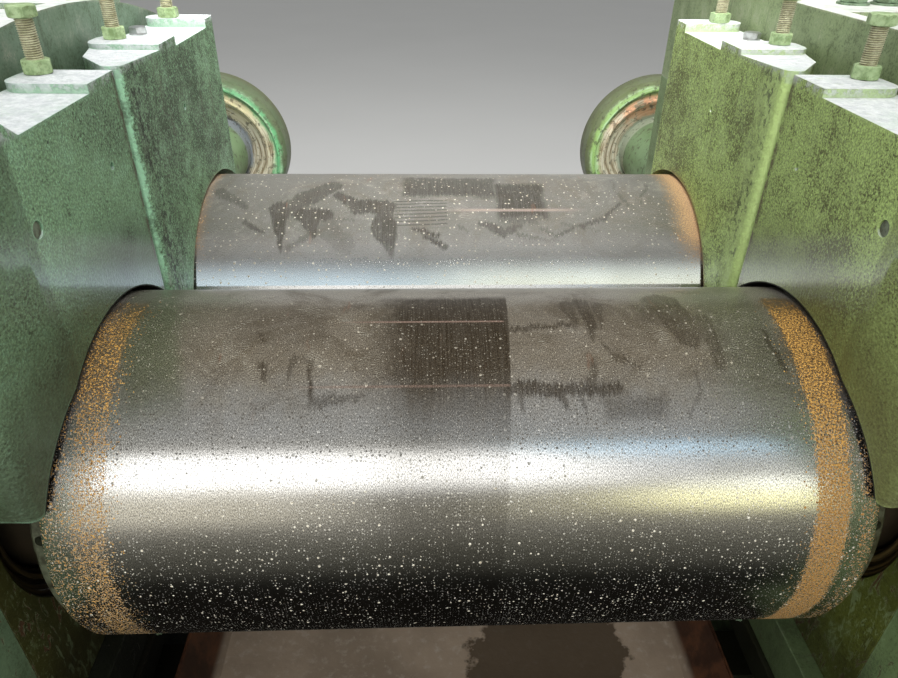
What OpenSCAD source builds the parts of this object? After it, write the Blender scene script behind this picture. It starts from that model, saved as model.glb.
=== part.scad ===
// Two-roll open mill stand: two ground rolls side by side in cast end frames, with four
// stock guides shaped to the rolls. The floor is z = 0, the nip is on x = 0, y = 0, the
// rolls lie along X, the fixed roll is on the -Y side and the nip opens towards +Y.

/* [Rolls] */
// Diameter of both roll bodies
roll_d = 450; // [400:5:470]
// Length of the roll bodies
roll_face = 900; // [800:10:1100]
// Bevel at the ends of the roll bodies
roll_bevel = 7; // [2:1:12]
// Gap between the rolls at rest
nip = 5; // [5:1:12]
// Travel of the adjustable roll beyond the rest gap
nip_travel = 10; // [5:1:14]
// Height of the roll axes above the floor
axis_h = 950; // [900:10:1100]
// Diameter of the end collars
collar_d = 412; // [380:2:430]
// Width of the end collars
collar_w = 22; // [16:1:40]
// Diameter of the spanner holes in the collars
spanner_d = 12; // [6:1:14]
// Depth of the spanner holes
spanner_t = 14; // [6:1:20]
// Number of spanner holes round each collar
spanner_n = 6; // [4:1:8]
// Angle of the first spanner hole above the horizontal in degrees
spanner_a = 16; // [0:1:30]
// Diameter of the roll necks
neck_d = 280; // [220:5:300]
// Diameter of the drive end on the fixed roll
drive_d = 200; // [150:5:210]
// Length of the drive end beyond the gear guard
drive_l = 150; // [100:10:250]
// Width of the keyway in the drive end
key_w = 45; // [30:1:50]
// Depth of the keyway in the drive end
key_t = 15; // [10:1:20]
// Radial running clearance between a neck and its housing
neck_fit = 0.05; // [0.02:0.01:0.1]

/* [End frames] */
// Gap between a collar and the inner face of its end frame
side_gap = 56; // [30:1:90]
// Thickness of the end frames along the roll axes
frame_w = 280; // [240:5:340]
// Width of the uprights
upright_w = 220; // [170:5:260]
// Distance that the sill lip stands in from the frame
lip_w = 28; // [15:1:40]
// Height of the sill lip
lip_h = 88; // [60:1:120]
// Distance that the sill lip ends short of the frame ends
lip_in = 40; // [20:5:80]
// Depth of the cast panels in the outer faces
panel_t = 35; // [15:1:60]
// Width of the plain border round the cast panels
panel_in = 60; // [50:5:90]
// Corner radius of the cast panels
panel_r = 30; // [10:1:40]
// Width of the rib between the panels of a pedestal
rib_w = 90; // [60:5:140]
// Length of the feet in front of and behind the frames
foot_l = 70; // [50:5:100]
// Thickness of the feet
foot_t = 36; // [20:2:50]
// Height of the cap crown above the roll axes
crown_h = 520; // [490:1:580]
// Radius of the arched left cap
crown_r = 1390; // [1200:10:1800]
// Radius of the upper corners of the flat right cap
cap_corner_r = 70; // [40:5:110]
// Thickness of the rims along the top of the cap
rim_t = 27; // [20:1:40]
// Depth of the shelf between the rims below the crown
shelf_drop = 12; // [6:1:20]
// Distance that the shelf reaches past the roll axes
shelf_l = 130; // [110:5:180]
// Length of the pads on the shelf
cap_pad_l = 200; // [120:5:220]
// Thickness of the pads on the shelf
cap_pad_t = 8; // [4:1:12]
// Diameter of the flat seats for the cap nuts
cap_seat_d = 96; // [70:2:110]
// Thickness of the cap below the nut seats, and twice their depth in the flat right cap
cap_seat_t = 60; // [45:1:75]
// Distance between the two nut seats over an upright
cap_seat_gap = 140; // [120:2:160]

/* [Bearing housings] */
// Distance from a roll axis to the outer face of its housing
housing_out = 210; // [190:2:240]
// Gap between the two housings of a frame at rest
housing_gap = 35; // [28:1:60]
// Height of a housing below the roll axis
housing_low = 297; // [260:1:320]
// Height of a housing above the roll axis
housing_up = 290; // [250:1:300]
// Distance that the housings stand in from the outer faces of the frames
housing_in = 8; // [4:1:20]
// Clearance between the housings and the cap
cap_gap = 10; // [6:1:25]
// Diameter of the seal recess round the neck
recess_d = 356; // [330:2:380]
// Depth of the seal recess
recess_t = 44; // [30:1:60]
// Clearance between a neck and its sealing ring
seal_gap = 4; // [2:1:8]
// Distance that the round covers stand in from the outer faces of the housings
cover_in = 20; // [12:1:40]
// Thickness of the covers
cover_t = 30; // [15:1:50]
// Height of the raised centre of the covers
cover_boss = 14; // [6:1:24]

/* [Nip adjustment] */
// Diameter of the adjusting screws
screw_d = 90; // [60:2:110]
// Length of an adjusting screw inside its adjuster
screw_in = 100; // [60:5:140]
// Diameter of the thrust blocks on the adjusting screws
thrust_d = 150; // [120:2:180]
// Length of the thrust blocks
thrust_l = 46; // [30:1:60]
// Gap behind the adjustable housings
screw_gap = 102; // [80:1:150]
// Diameter of the adjuster drum
drum_d = 430; // [360:5:480]
// Width of the adjuster drum
drum_w = 120; // [100:5:180]
// Radius of the rounded front edge of the drum
drum_r = 32; // [20:1:45]
// Width of the flat ring inside the drum edge
ring_w = 22; // [14:1:30]
// Depth of the dished face of the drum
dish_t = 40; // [24:1:50]
// Diameter of the adjuster barrel
barrel_d = 210; // [180:5:240]
// Length of the adjuster barrel
barrel_l = 330; // [280:10:420]
// Width of the flange round the barrel
flange_w = 30; // [20:1:34]
// Thickness of the flange round the barrel
flange_t = 28; // [16:1:40]

/* [Stock guides] */
// Overlap of the front guides with the roll body ends
guide_lap = 33; // [20:1:60]
// Distance that the rear guides stand in from the front guides
guide_step = 6; // [2:1:12]
// Clearance between a guide and a roll
guide_gap = 6; // [5:1:10]
// Height of the lowest edge of the rear guides above the roll axes
guide_low = 60; // [45:1:90]
// Thickness of the brackets between the guides and the frames
bracket_t = 12; // [8:1:20]
// Distance that the brackets stand in from the edges of the guides
bracket_in = 30; // [20:1:50]
// Height of the front guide pads above the roll axes
front_top = 467; // [440:1:490]
// Height of the rear guide pads above the roll axes
rear_top = 470; // [440:1:490]
// Height of the front guide pad above its ledge
front_pad_h = 10; // [5:1:15]
// Height of the rear guide pads above the ledge between them
rear_pad_h = 13; // [8:1:18]
// Fall of the first rear ledge from the joint to the pad
rear_fall = 7; // [0:1:10]
// Distance of the joint between the guides in front of the nip
split_y = 65; // [40:1:90]
// Gap between the front and rear guides at the joint
split_gap = 7; // [4:1:12]
// Length of the front guide from the joint to its nose
front_l = 388; // [360:2:420]
// Length of the front guide pad
front_pad_l = 76; // [60:2:110]
// Length of the lower top of the front guide
front_ledge_l = 236; // [180:2:260]
// Length of the ramp between the ledge and the raised nose
nose_ramp_l = 26; // [14:2:40]
// Height of the raised nose above the ledge
nose_rise = 19; // [10:1:30]
// Distance from the joint to the back of the rear guide
rear_l = 450; // [430:2:480]
// Distance from the joint to the first rear pad
rear_ledge_l = 153; // [120:1:180]
// Length of the first rear pad
rear_pad_l = 74; // [60:1:100]
// Distance between the two rear pads
pad_gap = 168; // [140:1:190]
// Angle of the corner chamfer of the rear guide to the roll axes in degrees
chamfer_a = 55; // [40:1:65]
// Distance of the chamfer's end from the outer face of the rear guide
chamfer_in = 28; // [15:1:40]
// Outward turn of the front guide nose in degrees
flare_a = 10; // [4:1:16]
// Length of the turned nose
flare_l = 108; // [80:2:130]
// Radius of the outer vertical corners
corner_r = 26; // [10:1:35]
// Radius of the rounded edge of the rear guide at the joint
edge_r = 14; // [6:1:20]
// Angle of the nose tip above the roll axis in degrees
tip_a = 27; // [20:1:40]
// Radius of the rounded nose tip
tip_r = 12; // [6:1:18]
// Height of the holes in the inner faces above the roll axes
hole_h = 371; // [330:1:400]
// Depth of the holes in the inner faces
hole_t = 14; // [8:1:24]
// Diameter of the plug hole in a front guide
plug_d = 18; // [12:1:24]
// Distance of the plug hole from the joint
plug_y = 254; // [230:2:270]
// Diameter of the small holes
pin_d = 9; // [5:1:12]
// Distance of the small hole in a front guide from the joint
front_pin_y = 65; // [50:1:120]
// Distance of the small hole in a rear guide from the joint
rear_pin_y = 215; // [180:1:250]

/* [Jack screws] */
// Thread diameter of the jack screws
jack_d = 20; // [16:2:24]
// Height that a jack screw stands above its nut
jack_l = 44; // [30:1:70]
// Depth of a jack screw in its guide
jack_depth = 58; // [30:1:80]
// Distance of the front jack screw from the outer face of its guide
front_jack_in = 22; // [20:1:30]
// Distance of the front jack screw from the joint
front_jack_l = 20; // [18:1:30]
// Distance of the first rear jack screw from the outer face of its guide
rear_jack_in = 29; // [20:1:40]
// Distance of the first rear jack screw from the joint
rear_jack_l = 200; // [185:1:210]
// Distance of the second rear jack screw from the outer face of its guide
back_jack_in = 40; // [25:1:50]
// Distance of the second rear jack screw from the joint
back_jack_l = 415; // [405:1:425]

/* [Base] */
// Height of the bedplate
bed_h = 250; // [200:5:320]
// Distance that the bedplate stands out past the frames and their feet
bed_out = 24; // [10:1:60]
// Thickness of the bedplate flanges and ribs
bed_t = 32; // [20:1:45]
// Depth of the bedplate side recess
bed_recess = 70; // [56:1:90]
// Number of rib bays along each side of the bedplate
bed_bays = 5; // [3:1:8]
// Diameter of the foundation bolt holes
anchor_d = 33; // [22:1:40]
// Width of the tie beams
beam_w = 90; // [60:5:120]
// Height of the tie beams
beam_h = 80; // [60:5:110]
// Thickness of the tie beam flanges and webs
beam_t = 15; // [10:1:20]
// Depth of the drip tray
tray_h = 85; // [60:5:120]
// Thickness of the drip tray sheet
tray_t = 6; // [4:1:10]
// Height of the tray rim below the roll axes
tray_drop = 400; // [330:5:450]
// Distance that the tray rim stands in from the roll body ends
tray_in = 10; // [0:1:40]
// Slope of the tray sides from the rim to the bottom
tray_flare = 40; // [10:1:60]
// Height of the rails on the sill lips
rail_h = 50; // [30:1:70]
// Thickness of the rails on the sill lips
rail_t = 10; // [6:1:16]
// Lap of the rails on the sill lips
rail_lap = 10; // [6:1:20]

/* [Gear guard] */
// Radius of the gear guard round each roll axis
guard_r = 290; // [250:5:300]
// Width of the gear guard
guard_w = 190; // [140:5:260]
// Width of the flanges between the guard halves
joint_w = 34; // [24:1:50]
// Thickness of the flanges between the guard halves
joint_t = 14; // [10:1:24]
// Clearance between the drive end and the guard
shaft_gap = 5; // [3:1:8]

/* [Hidden] */
$fn = 96;
seat = 0.3;
bevel = 4;
cut = 1;
roll_r = roll_d / 2;
roll_y = roll_r + nip / 2;
face_x = roll_face / 2;
collar_x = face_x + collar_w;
frame_x = collar_x + side_gap;
frame_out = frame_x + frame_w;
frame_mid = frame_x + frame_w / 2;
housing_x = frame_out - housing_in;
housing_end = roll_y + housing_out;
rear_end = housing_end + screw_gap;
front_out = housing_end + upright_w;
rear_out = rear_end + upright_w;
sill_z = axis_h - housing_low - seat;
cap_z = axis_h + housing_up + cap_gap;
front_mid = front_out - upright_w / 2;
rear_mid = rear_out - upright_w / 2;
crown_z = axis_h + crown_h;
crown_y = (rear_out - front_out) / 2;
shelf_z = crown_z - shelf_drop;
guard_out = frame_out + guard_w;
neck_end = housing_x - 5 * bevel;
land_d = drive_d + 6;
coupling_x = guard_out + shaft_gap;
guide_front_x = face_x - guide_lap;
guide_rear_x = guide_front_x - guide_step;
guide_out = frame_x - bracket_t;
guide_clear_r = roll_r + guide_gap;
nose_y = -split_y - front_l;
ledge_y = -split_y - front_ledge_l;
back_y = rear_l - split_y;
pad1_y = rear_ledge_l - split_y;
pad2_y = pad1_y + rear_pad_l + pad_gap;
jack_af = 1.5 * jack_d;
nut_h = 0.8 * jack_d;
head_h = 0.65 * jack_d;
front_jack = [[guide_out - front_jack_in, -split_y - front_jack_l]];
rear_jacks = [[guide_out - rear_jack_in, rear_jack_l - split_y],
    [guide_out - back_jack_in, back_jack_l - split_y]];
bed_x = frame_out + bed_out;
bed_front = front_out + foot_l + bed_out;
bed_back = rear_out + foot_l + bed_out;
tray_z = axis_h - tray_drop - tray_h;
seal_steps = [18, 8, 14, 5, 0];

function arc(c, r, a0, a1, n = 12) =
    [for (i = [0:n]) let (a = a0 + (a1 - a0) * i / n) c + r * [cos(a), sin(a)]];

module both_sides() {
    children();
    mirror([1, 0, 0]) children();
}

// A YZ outline extruded along X from x0 to x1
module along_x(x0, x1) {
    translate([x0, 0, 0]) rotate([90, 0, 90]) linear_extrude(x1 - x0) children();
}

// A cylinder along X
module rod_x(x0, x1, d, y, z) {
    translate([x0, y, z]) rotate([0, 90, 0]) cylinder(h = x1 - x0, d = d);
}

// A cylinder along Y
module rod_y(y0, y1, d, x, z) {
    translate([x, y0, z]) rotate([-90, 0, 0]) cylinder(h = y1 - y0, d = d);
}

// A revolved shape whose axis lies along +X
module revolve_x(y) {
    translate([0, y, axis_h]) rotate([90, 0, 90]) rotate_extrude() children();
}

// A rectangle with round corners between two opposite corners
module round_rect(low, high, r) {
    size = high - low;
    translate(low + [r, 0]) square([size[0] - 2 * r, size[1]]);
    translate(low + [0, r]) square([size[0], size[1] - 2 * r]);
    for (x = [low[0] + r, high[0] - r], y = [low[1] + r, high[1] - r])
        translate([x, y]) circle(r = r);
}

module bedplate() {
    rib_in = bed_recess / 3;
    core = [2 * (bed_x - bed_recess), bed_front + bed_back - 2 * bed_recess];
    color([0.27, 0.36, 0.24]) difference() {
        union() {
            for (z = [0, bed_h - bed_t])
                translate([-bed_x, -bed_front, z]) cube([2 * bed_x, bed_front + bed_back, bed_t]);
            translate([-bed_x + bed_recess, -bed_front + bed_recess, 0]) cube([core[0], core[1], bed_h]);
            for (i = [0:bed_bays]) {
                x = -bed_x + bed_recess + i * (core[0] - bed_t) / bed_bays;
                translate([x, -bed_front + rib_in, 0])
                    cube([bed_t, bed_front + bed_back - 2 * rib_in, bed_h]);
                y = -bed_front + bed_recess + i * (core[1] - bed_t) / bed_bays;
                translate([-bed_x + rib_in, y, 0]) cube([2 * (bed_x - rib_in), bed_t, bed_h]);
            }
        }
        for (x = [-1, 1], y = [-bed_front + bed_recess / 2, bed_back - bed_recess / 2])
            translate([x * (bed_x - bed_recess / 2), y, -cut]) cylinder(h = bed_t + 2 * cut, d = anchor_d);
    }
}

// Outline of one end frame: two uprights, a sill, the pedestal below it and its feet
module frame_outline() {
    difference() {
        union() {
            translate([-front_out, bed_h]) square([front_out + rear_out, cap_z - bed_h]);
            translate([-front_out - foot_l, bed_h])
                square([front_out + rear_out + 2 * foot_l, foot_t]);
        }
        translate([-housing_end, sill_z]) square([housing_end + rear_end, cap_z - sill_z + cut]);
    }
}

module end_frame() {
    low = bed_h + foot_t + panel_in;
    high = sill_z - panel_in;
    seat_r = barrel_d / 2 + flange_w;
    color([0.33, 0.44, 0.28]) difference() {
        union() {
            along_x(frame_x, frame_out) frame_outline();
            along_x(frame_x - lip_w, frame_x + cut)
                translate([-front_out + lip_in, sill_z - lip_h])
                    square([front_out + rear_out - 2 * lip_in, lip_h]);
        }
        along_x(frame_out - panel_t, frame_out + cut) {
            round_rect([-front_out + panel_in, low], [crown_y - rib_w / 2, high], panel_r);
            round_rect([crown_y + rib_w / 2, low], [rear_out - panel_in, high], panel_r);
        }
        translate([0, -front_out + panel_t, 0]) rotate([90, 0, 0]) linear_extrude(panel_t + cut)
            round_rect([frame_x + panel_in, low], [frame_out - panel_in, cap_z - panel_in], panel_r);
        translate([0, rear_out + cut, 0]) rotate([90, 0, 0]) linear_extrude(panel_t + cut)
            round_rect([frame_x + panel_in, low], [frame_out - panel_in, axis_h - seat_r - bevel],
                panel_r);
        rod_y(rear_end - cut, rear_out + cut, screw_d + 2 * neck_fit, frame_mid, axis_h);
    }
}

// Outline of a cap: arched over the left frame, flat with round corners over the right one
module cap_outline(arched) {
    r = cap_corner_r;
    if (arched)
        intersection() {
            translate([-front_out, cap_z]) square([front_out + rear_out, crown_h]);
            translate([crown_y, crown_z - crown_r]) circle(r = crown_r, $fn = 360);
        }
    else
        polygon(concat([[-front_out, cap_z]], arc([r - front_out, crown_z - r], r, 180, 90, 10),
            arc([rear_out - r, crown_z - r], r, 90, 0, 10), [[rear_out, cap_z]]));
}

// Cap with two rims, and a flat shelf between them that carries a pad over each roll
module frame_cap(arched) {
    shelf_y = roll_y + shelf_l;
    pad_x = frame_x + rim_t;
    pad_w = frame_w - 2 * rim_t;
    seat_z = arched ? cap_z + cap_seat_t : shelf_z - cap_seat_t / 2;
    color([0.35, 0.46, 0.30]) {
        difference() {
            union() {
                along_x(frame_x, frame_out) cap_outline(arched);
                translate([pad_x, -shelf_y, cap_z]) cube([pad_w, 2 * shelf_y, shelf_z - cap_z]);
            }
            translate([pad_x, -front_out, shelf_z]) cube([pad_w, front_out + rear_out, shelf_drop + cut]);
            for (x = [-cap_seat_gap / 2, cap_seat_gap / 2], y = [-front_mid, rear_mid])
                translate([frame_mid + x, y, seat_z]) cylinder(h = crown_h, d = cap_seat_d);
        }
        for (y = [-roll_y, roll_y])
            translate([pad_x, y - cap_pad_l / 2, shelf_z - cut])
                cube([pad_w - rim_t, cap_pad_l, cap_pad_t + cut]);
    }
}

// One bearing housing in the right-hand frame, with its bore round the roll axis
module housing(side, blind) {
    width = housing_end - housing_gap / 2;
    y0 = side < 0 ? -housing_end : housing_gap / 2;
    y = side * roll_y;
    color([0.31, 0.41, 0.26]) difference() {
        translate([frame_x, y0, axis_h - housing_low])
            cube([housing_x - frame_x, width, housing_low + housing_up]);
        rod_x(frame_x - cut, frame_x + recess_t, recess_d, y, axis_h);
        rod_x(frame_x, blind ? neck_end + 2 * bevel : housing_x + cut, neck_d + 2 * neck_fit, y, axis_h);
    }
}

// Grooved sealing ring in the recess of a housing
module neck_seal(y) {
    r_in = neck_d / 2 + seal_gap;
    r_out = recess_d / 2 - seat;
    x0 = frame_x + 2 * bevel;
    x1 = frame_x + recess_t;
    n = len(seal_steps);
    rings = [for (i = [0:n - 1], j = [i, i + 1]) [r_in + j * (r_out - r_in) / n, x0 + seal_steps[i]]];
    color([0.33, 0.26, 0.15]) revolve_x(y) polygon(concat([[r_in, x1]], rings, [[r_out, x1]]));
}

// Flat cover with a raised centre on the closed end of a housing
module end_cover(y) {
    r = housing_out - cover_in;
    boss_r = 2 * r / 3;
    top = housing_x + cover_t;
    color([0.33, 0.44, 0.28]) revolve_x(y)
        polygon([[0, housing_x], [r, housing_x], [r, top - bevel], [r - bevel, top], [boss_r, top],
            [boss_r - bevel, top + cover_boss], [0, top + cover_boss]]);
}

// Roll body with bevelled ends, collars and necks, revolved in one piece. A right end that
// reaches past the gear guard has a land inside the guard and a thinner seat outside it.
module roll(y, right_end) {
    bevel_r = roll_r - roll_bevel / 2;
    neck_r = neck_d / 2;
    collar_r = collar_d / 2;
    drive_r = drive_d / 2;
    driven = right_end > guard_out;
    color([0.55, 0.55, 0.54]) difference() {
        revolve_x(y)
            polygon([[0, -neck_end], [neck_r - bevel, -neck_end], [neck_r, -neck_end + bevel],
                [neck_r, -collar_x], [collar_r - bevel, -collar_x], [collar_r, -collar_x + bevel],
                [collar_r, -face_x], [bevel_r, -face_x], [roll_r, -face_x + roll_bevel],
                [roll_r, face_x - roll_bevel], [bevel_r, face_x], [collar_r, face_x],
                [collar_r, collar_x - bevel], [collar_r - bevel, collar_x], [neck_r, collar_x],
                [neck_r, neck_end - bevel], [neck_r - bevel, neck_end],
                each driven ? [[land_d / 2, neck_end], [land_d / 2, coupling_x]] : [],
                [drive_r, driven ? coupling_x : neck_end],
                [drive_r, right_end - bevel], [drive_r - bevel, right_end], [0, right_end]]);
        for (side = [-1, 1], i = [0:spanner_n - 1])
            translate([side * (face_x + collar_w / 2), y, axis_h])
                rotate([90 - spanner_a + i * 360 / spanner_n, 0, 0])
                    translate([0, 0, collar_r - spanner_t]) cylinder(h = spanner_t + cut, d = spanner_d);
    }
}

module front_roll() {
    difference() {
        roll(-roll_y, guard_out + drive_l);
        translate([guard_out + drive_l / 4, -roll_y - key_w / 2, axis_h + drive_d / 2 - key_t])
            cube([drive_l, key_w, key_t + cut]);
    }
}

module rear_roll() {
    roll(roll_y, neck_end + bevel + cut);
}

// Space that the rolls sweep below the guides, with the travel of the adjustable roll
module roll_sweep() {
    r = guide_clear_r;
    for (y = [-roll_y, roll_y, roll_y + nip_travel]) rod_x(0, frame_out, 2 * r, y, axis_h);
    translate([0, roll_y, axis_h]) cube([frame_out, nip_travel, r]);
}

module jack_bores(places, top) {
    for (place = places)
        translate([place[0], place[1], axis_h + top - jack_depth - bevel])
            cylinder(h = jack_depth + 2 * bevel, d = jack_d + 2 * neck_fit);
}

// Raised pad with round outer corners, cut to the plan outline of its guide
module raised_pad(y0, y1, top, h) {
    r = corner_r;
    translate([0, 0, axis_h + top - 2 * h]) linear_extrude(2 * h) intersection() {
        children();
        polygon(concat([[0, y0]], arc([guide_out - r, y0 + r], r, 270, 360, 8),
            arc([guide_out - r, y1 - r], r, 0, 90, 8), [[0, y1]]));
    }
}

// Plan outline of a front guide: straight inner face, then a nose turned outwards
module front_guide_plan() {
    nose_x = guide_front_x + flare_l * tan(flare_a);
    r = corner_r;
    polygon(concat([[guide_front_x, -split_y], [guide_front_x, nose_y + flare_l]],
        arc([nose_x + r, nose_y + r], r, 180 + flare_a, 270, 8),
        arc([guide_out - r / 2, nose_y + r / 2], r / 2, 270, 360, 6),
        arc([guide_out - r, -split_y - r], r, 0, 90, 8)));
}

// Side outline of a front guide below its pad: ledge, raised nose, round tip over the roll
module front_guide_side() {
    ledge_z = axis_h + front_top - front_pad_h;
    tip = [-roll_y - guide_clear_r * cos(tip_a), axis_h + guide_clear_r * sin(tip_a)];
    polygon(concat([[-split_y, axis_h], [-split_y, ledge_z], [ledge_y, ledge_z],
        [ledge_y - nose_ramp_l, ledge_z + nose_rise], [nose_y - cut, ledge_z + nose_rise],
        [nose_y - cut, tip[1] + tip_r]],
        arc(tip + [-tip_r / 2, tip_r], tip_r, 215, 320, 6), [[-roll_y, axis_h]]));
}

module front_guide() {
    height = front_top - front_pad_h + nose_rise + cut;
    color([0.34, 0.46, 0.28]) difference() {
        union() {
            intersection() {
                translate([0, 0, axis_h]) linear_extrude(height) front_guide_plan();
                along_x(guide_front_x - cut, guide_out + cut) front_guide_side();
            }
            raised_pad(-split_y - front_pad_l, -split_y, front_top, front_pad_h) front_guide_plan();
        }
        roll_sweep();
        jack_bores(front_jack, front_top);
        rod_x(0, guide_front_x + hole_t, pin_d, -split_y - front_pin_y, axis_h + hole_h);
        rod_x(0, guide_front_x + hole_t, plug_d, -split_y - plug_y, axis_h + hole_h);
    }
}

// Plan outline of a rear guide: round inner corner at the joint, then a chamfer and a taper
module rear_guide_plan() {
    r = corner_r;
    corner = [guide_rear_x + edge_r, split_gap + edge_r - split_y];
    start = corner + edge_r * [sin(chamfer_a), -cos(chamfer_a)];
    end_x = guide_out - chamfer_in;
    polygon(concat(arc(corner, edge_r, 180, 270 + chamfer_a, 12),
        [[end_x, start[1] + (end_x - start[0]) * tan(chamfer_a)], [guide_out, pad1_y + r]],
        arc([guide_out - r, back_y - r], r, 0, 90, 8),
        arc([guide_rear_x + r / 2, back_y - r / 2], r / 2, 90, 180, 6)));
}

// Side outline of a rear guide below its pads: a falling ledge, then a lower level one
module rear_guide_side() {
    step_y = pad1_y + rear_pad_l / 2;
    high_z = axis_h + rear_top;
    ledge_z = high_z - rear_pad_h;
    low_z = axis_h + guide_low;
    polygon([[-split_y, low_z], [-split_y, high_z], [pad1_y, high_z - rear_fall],
        [step_y, high_z - rear_fall], [step_y, ledge_z], [back_y + cut, ledge_z],
        [back_y + cut, low_z]]);
}

module rear_guide() {
    color([0.34, 0.46, 0.28]) difference() {
        union() {
            intersection() {
                translate([0, 0, axis_h]) linear_extrude(rear_top + cut) rear_guide_plan();
                along_x(guide_rear_x - cut, guide_out + cut) rear_guide_side();
            }
            for (y = [[pad1_y, pad1_y + rear_pad_l], [pad2_y, back_y]])
                raised_pad(y[0], y[1], rear_top, rear_pad_h) rear_guide_plan();
        }
        roll_sweep();
        jack_bores(rear_jacks, rear_top);
        rod_x(0, guide_rear_x + hole_t, pin_d, -split_y + rear_pin_y, axis_h + hole_h);
    }
}

// Fully threaded hexagon screws that stand up out of their lock nuts
module jack_screws(places, top) {
    color([0.62, 0.70, 0.50]) for (place = places) translate([place[0], place[1], axis_h + top]) {
        translate([0, 0, -jack_depth]) cylinder(h = jack_depth + nut_h + jack_l, d = jack_d);
        cylinder(h = nut_h, d = jack_af / cos(30), $fn = 6);
        translate([0, 0, nut_h + jack_l]) cylinder(h = head_h, d = jack_af / cos(30), $fn = 6);
    }
}

module guide_brackets() {
    low = cap_z + bracket_in;
    high = axis_h + front_top - front_pad_h - bracket_in;
    color([0.22, 0.28, 0.20])
        for (y = [[ledge_y + bracket_in, -split_y - bracket_in],
                [pad1_y + corner_r + bracket_in, back_y - bracket_in]])
            translate([guide_out, y[0], low]) cube([bracket_t, y[1] - y[0], high - low]);
}

// Adjusting screws with thrust blocks that push the housings of the adjustable roll
module nip_screws() {
    color([0.45, 0.43, 0.40]) both_sides() {
        rod_y(housing_end, housing_end + thrust_l, thrust_d, frame_mid, axis_h);
        rod_y(housing_end + thrust_l / 2, rear_out + screw_in, screw_d, frame_mid, axis_h);
    }
}

// Round adjuster: flange, barrel and a drum with a rounded rim, a flat ring and a dished face
module adjuster() {
    r = drum_d / 2;
    barrel_r = barrel_d / 2;
    ring_r = r - drum_r + bevel;
    dish_r = ring_r - ring_w;
    back = barrel_l + drum_w;
    back_r = 3 * drum_r / 4;
    color([0.36, 0.50, 0.30]) difference() {
        translate([frame_mid, rear_out, axis_h]) rotate([-90, 0, 0]) rotate_extrude()
            polygon(concat([[0, 0], [barrel_r + flange_w, 0], [barrel_r + flange_w, flange_t],
                [barrel_r, flange_t], [barrel_r, barrel_l + dish_t],
                [dish_r - 2 * bevel, barrel_l + 3 * bevel], [dish_r - 2 * bevel, barrel_l + bevel],
                [dish_r, barrel_l + bevel], [dish_r, barrel_l + 3 * bevel],
                [ring_r, barrel_l + 3 * bevel]],
                arc([r - drum_r, barrel_l + drum_r], drum_r, -80, 0, 8),
                arc([r - back_r, back - back_r], back_r, 0, 90, 8), [[0, back]]));
        rod_y(rear_out - cut, rear_out + screw_in + nip_travel + 2 * bevel,
            screw_d + 2 * neck_fit, frame_mid, axis_h);
    }
}

// Outline of the gear guard round both roll axes
module guard_outline() {
    for (y = [-roll_y, roll_y]) translate([y, axis_h]) circle(r = guard_r);
    translate([-roll_y, axis_h - guard_r]) square([2 * roll_y, 2 * guard_r]);
}

module gear_guard(upper) {
    span = roll_y + guard_r + joint_w;
    color([0.33, 0.44, 0.28]) difference() {
        union() {
            intersection() {
                along_x(frame_out, guard_out) guard_outline();
                translate([frame_out, -span, upper ? axis_h : axis_h - guard_r - cut])
                    cube([guard_w, 2 * span, guard_r + cut]);
            }
            translate([frame_out, -span, upper ? axis_h : axis_h - joint_t])
                cube([guard_w, 2 * span, joint_t]);
        }
        rod_x(frame_out - cut, guard_out + cut, land_d + 2 * shaft_gap, -roll_y, axis_h);
    }
}

// Cross beam of I section between the end frames below the tray
module tie_beam(y) {
    low = tray_z - tray_t - beam_h;
    color([0.27, 0.36, 0.24]) along_x(-frame_x, frame_x) {
        for (z = [low, low + beam_h - beam_t])
            translate([y - beam_w / 2, z]) square([beam_w, beam_t]);
        translate([y - beam_t / 2, low]) square([beam_t, beam_h]);
    }
}

module tray_rails() {
    x1 = frame_x - lip_w;
    y0 = -front_out + 2 * lip_in;
    y1 = rear_out - 2 * lip_in;
    top = sill_z - lip_h + rail_lap;
    color([0.36, 0.37, 0.16]) both_sides()
        translate([x1 - rail_t, y0, top - rail_h]) cube([rail_t, y1 - y0, rail_h]);
}

// Open tray with sloping sides
module drip_tray() {
    top = tray_z + tray_h;
    x1 = face_x - tray_in;
    x0 = x1 - tray_flare;
    y1 = roll_y + roll_r;
    t = tray_t;
    low = tray_z - t;
    color([0.35, 0.22, 0.13]) {
        rotate([90, 0, 0]) translate([0, 0, -y1]) linear_extrude(2 * y1)
            polygon([[-x1, top], [-x0, tray_z], [x0, tray_z], [x1, top], [x1 + t, top],
                [x0 + t, low], [-x0 - t, low], [-x1 - t, top]]);
        for (y = [-y1, y1 + t])
            translate([0, y, 0]) rotate([90, 0, 0]) linear_extrude(t)
                polygon([[-x1 - t, top], [-x0 - t, low], [x0 + t, low], [x1 + t, top]]);
    }
}

bedplate();
mirror([1, 0, 0]) end_frame();  // left_frame
end_frame();  // right_frame
mirror([1, 0, 0]) frame_cap(true);  // left_cap
frame_cap(false);  // right_cap
mirror([1, 0, 0]) housing(-1, false);  // front_left_housing
housing(-1, false);  // front_right_housing
mirror([1, 0, 0]) housing(1, false);  // rear_left_housing
housing(1, true);  // rear_right_housing
both_sides() neck_seal(-roll_y);  // front_neck_seals
both_sides() neck_seal(roll_y);  // rear_neck_seals
mirror([1, 0, 0]) end_cover(-roll_y);  // front_left_cover
mirror([1, 0, 0]) end_cover(roll_y);  // rear_left_cover
front_roll();
rear_roll();
mirror([1, 0, 0]) front_guide();  // front_left_guide
front_guide();  // front_right_guide
mirror([1, 0, 0]) rear_guide();  // rear_left_guide
rear_guide();  // rear_right_guide
mirror([1, 0, 0]) guide_brackets();  // left_guide_brackets
guide_brackets();  // right_guide_brackets
mirror([1, 0, 0]) jack_screws(front_jack, front_top);  // front_left_jack_screw
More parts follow.
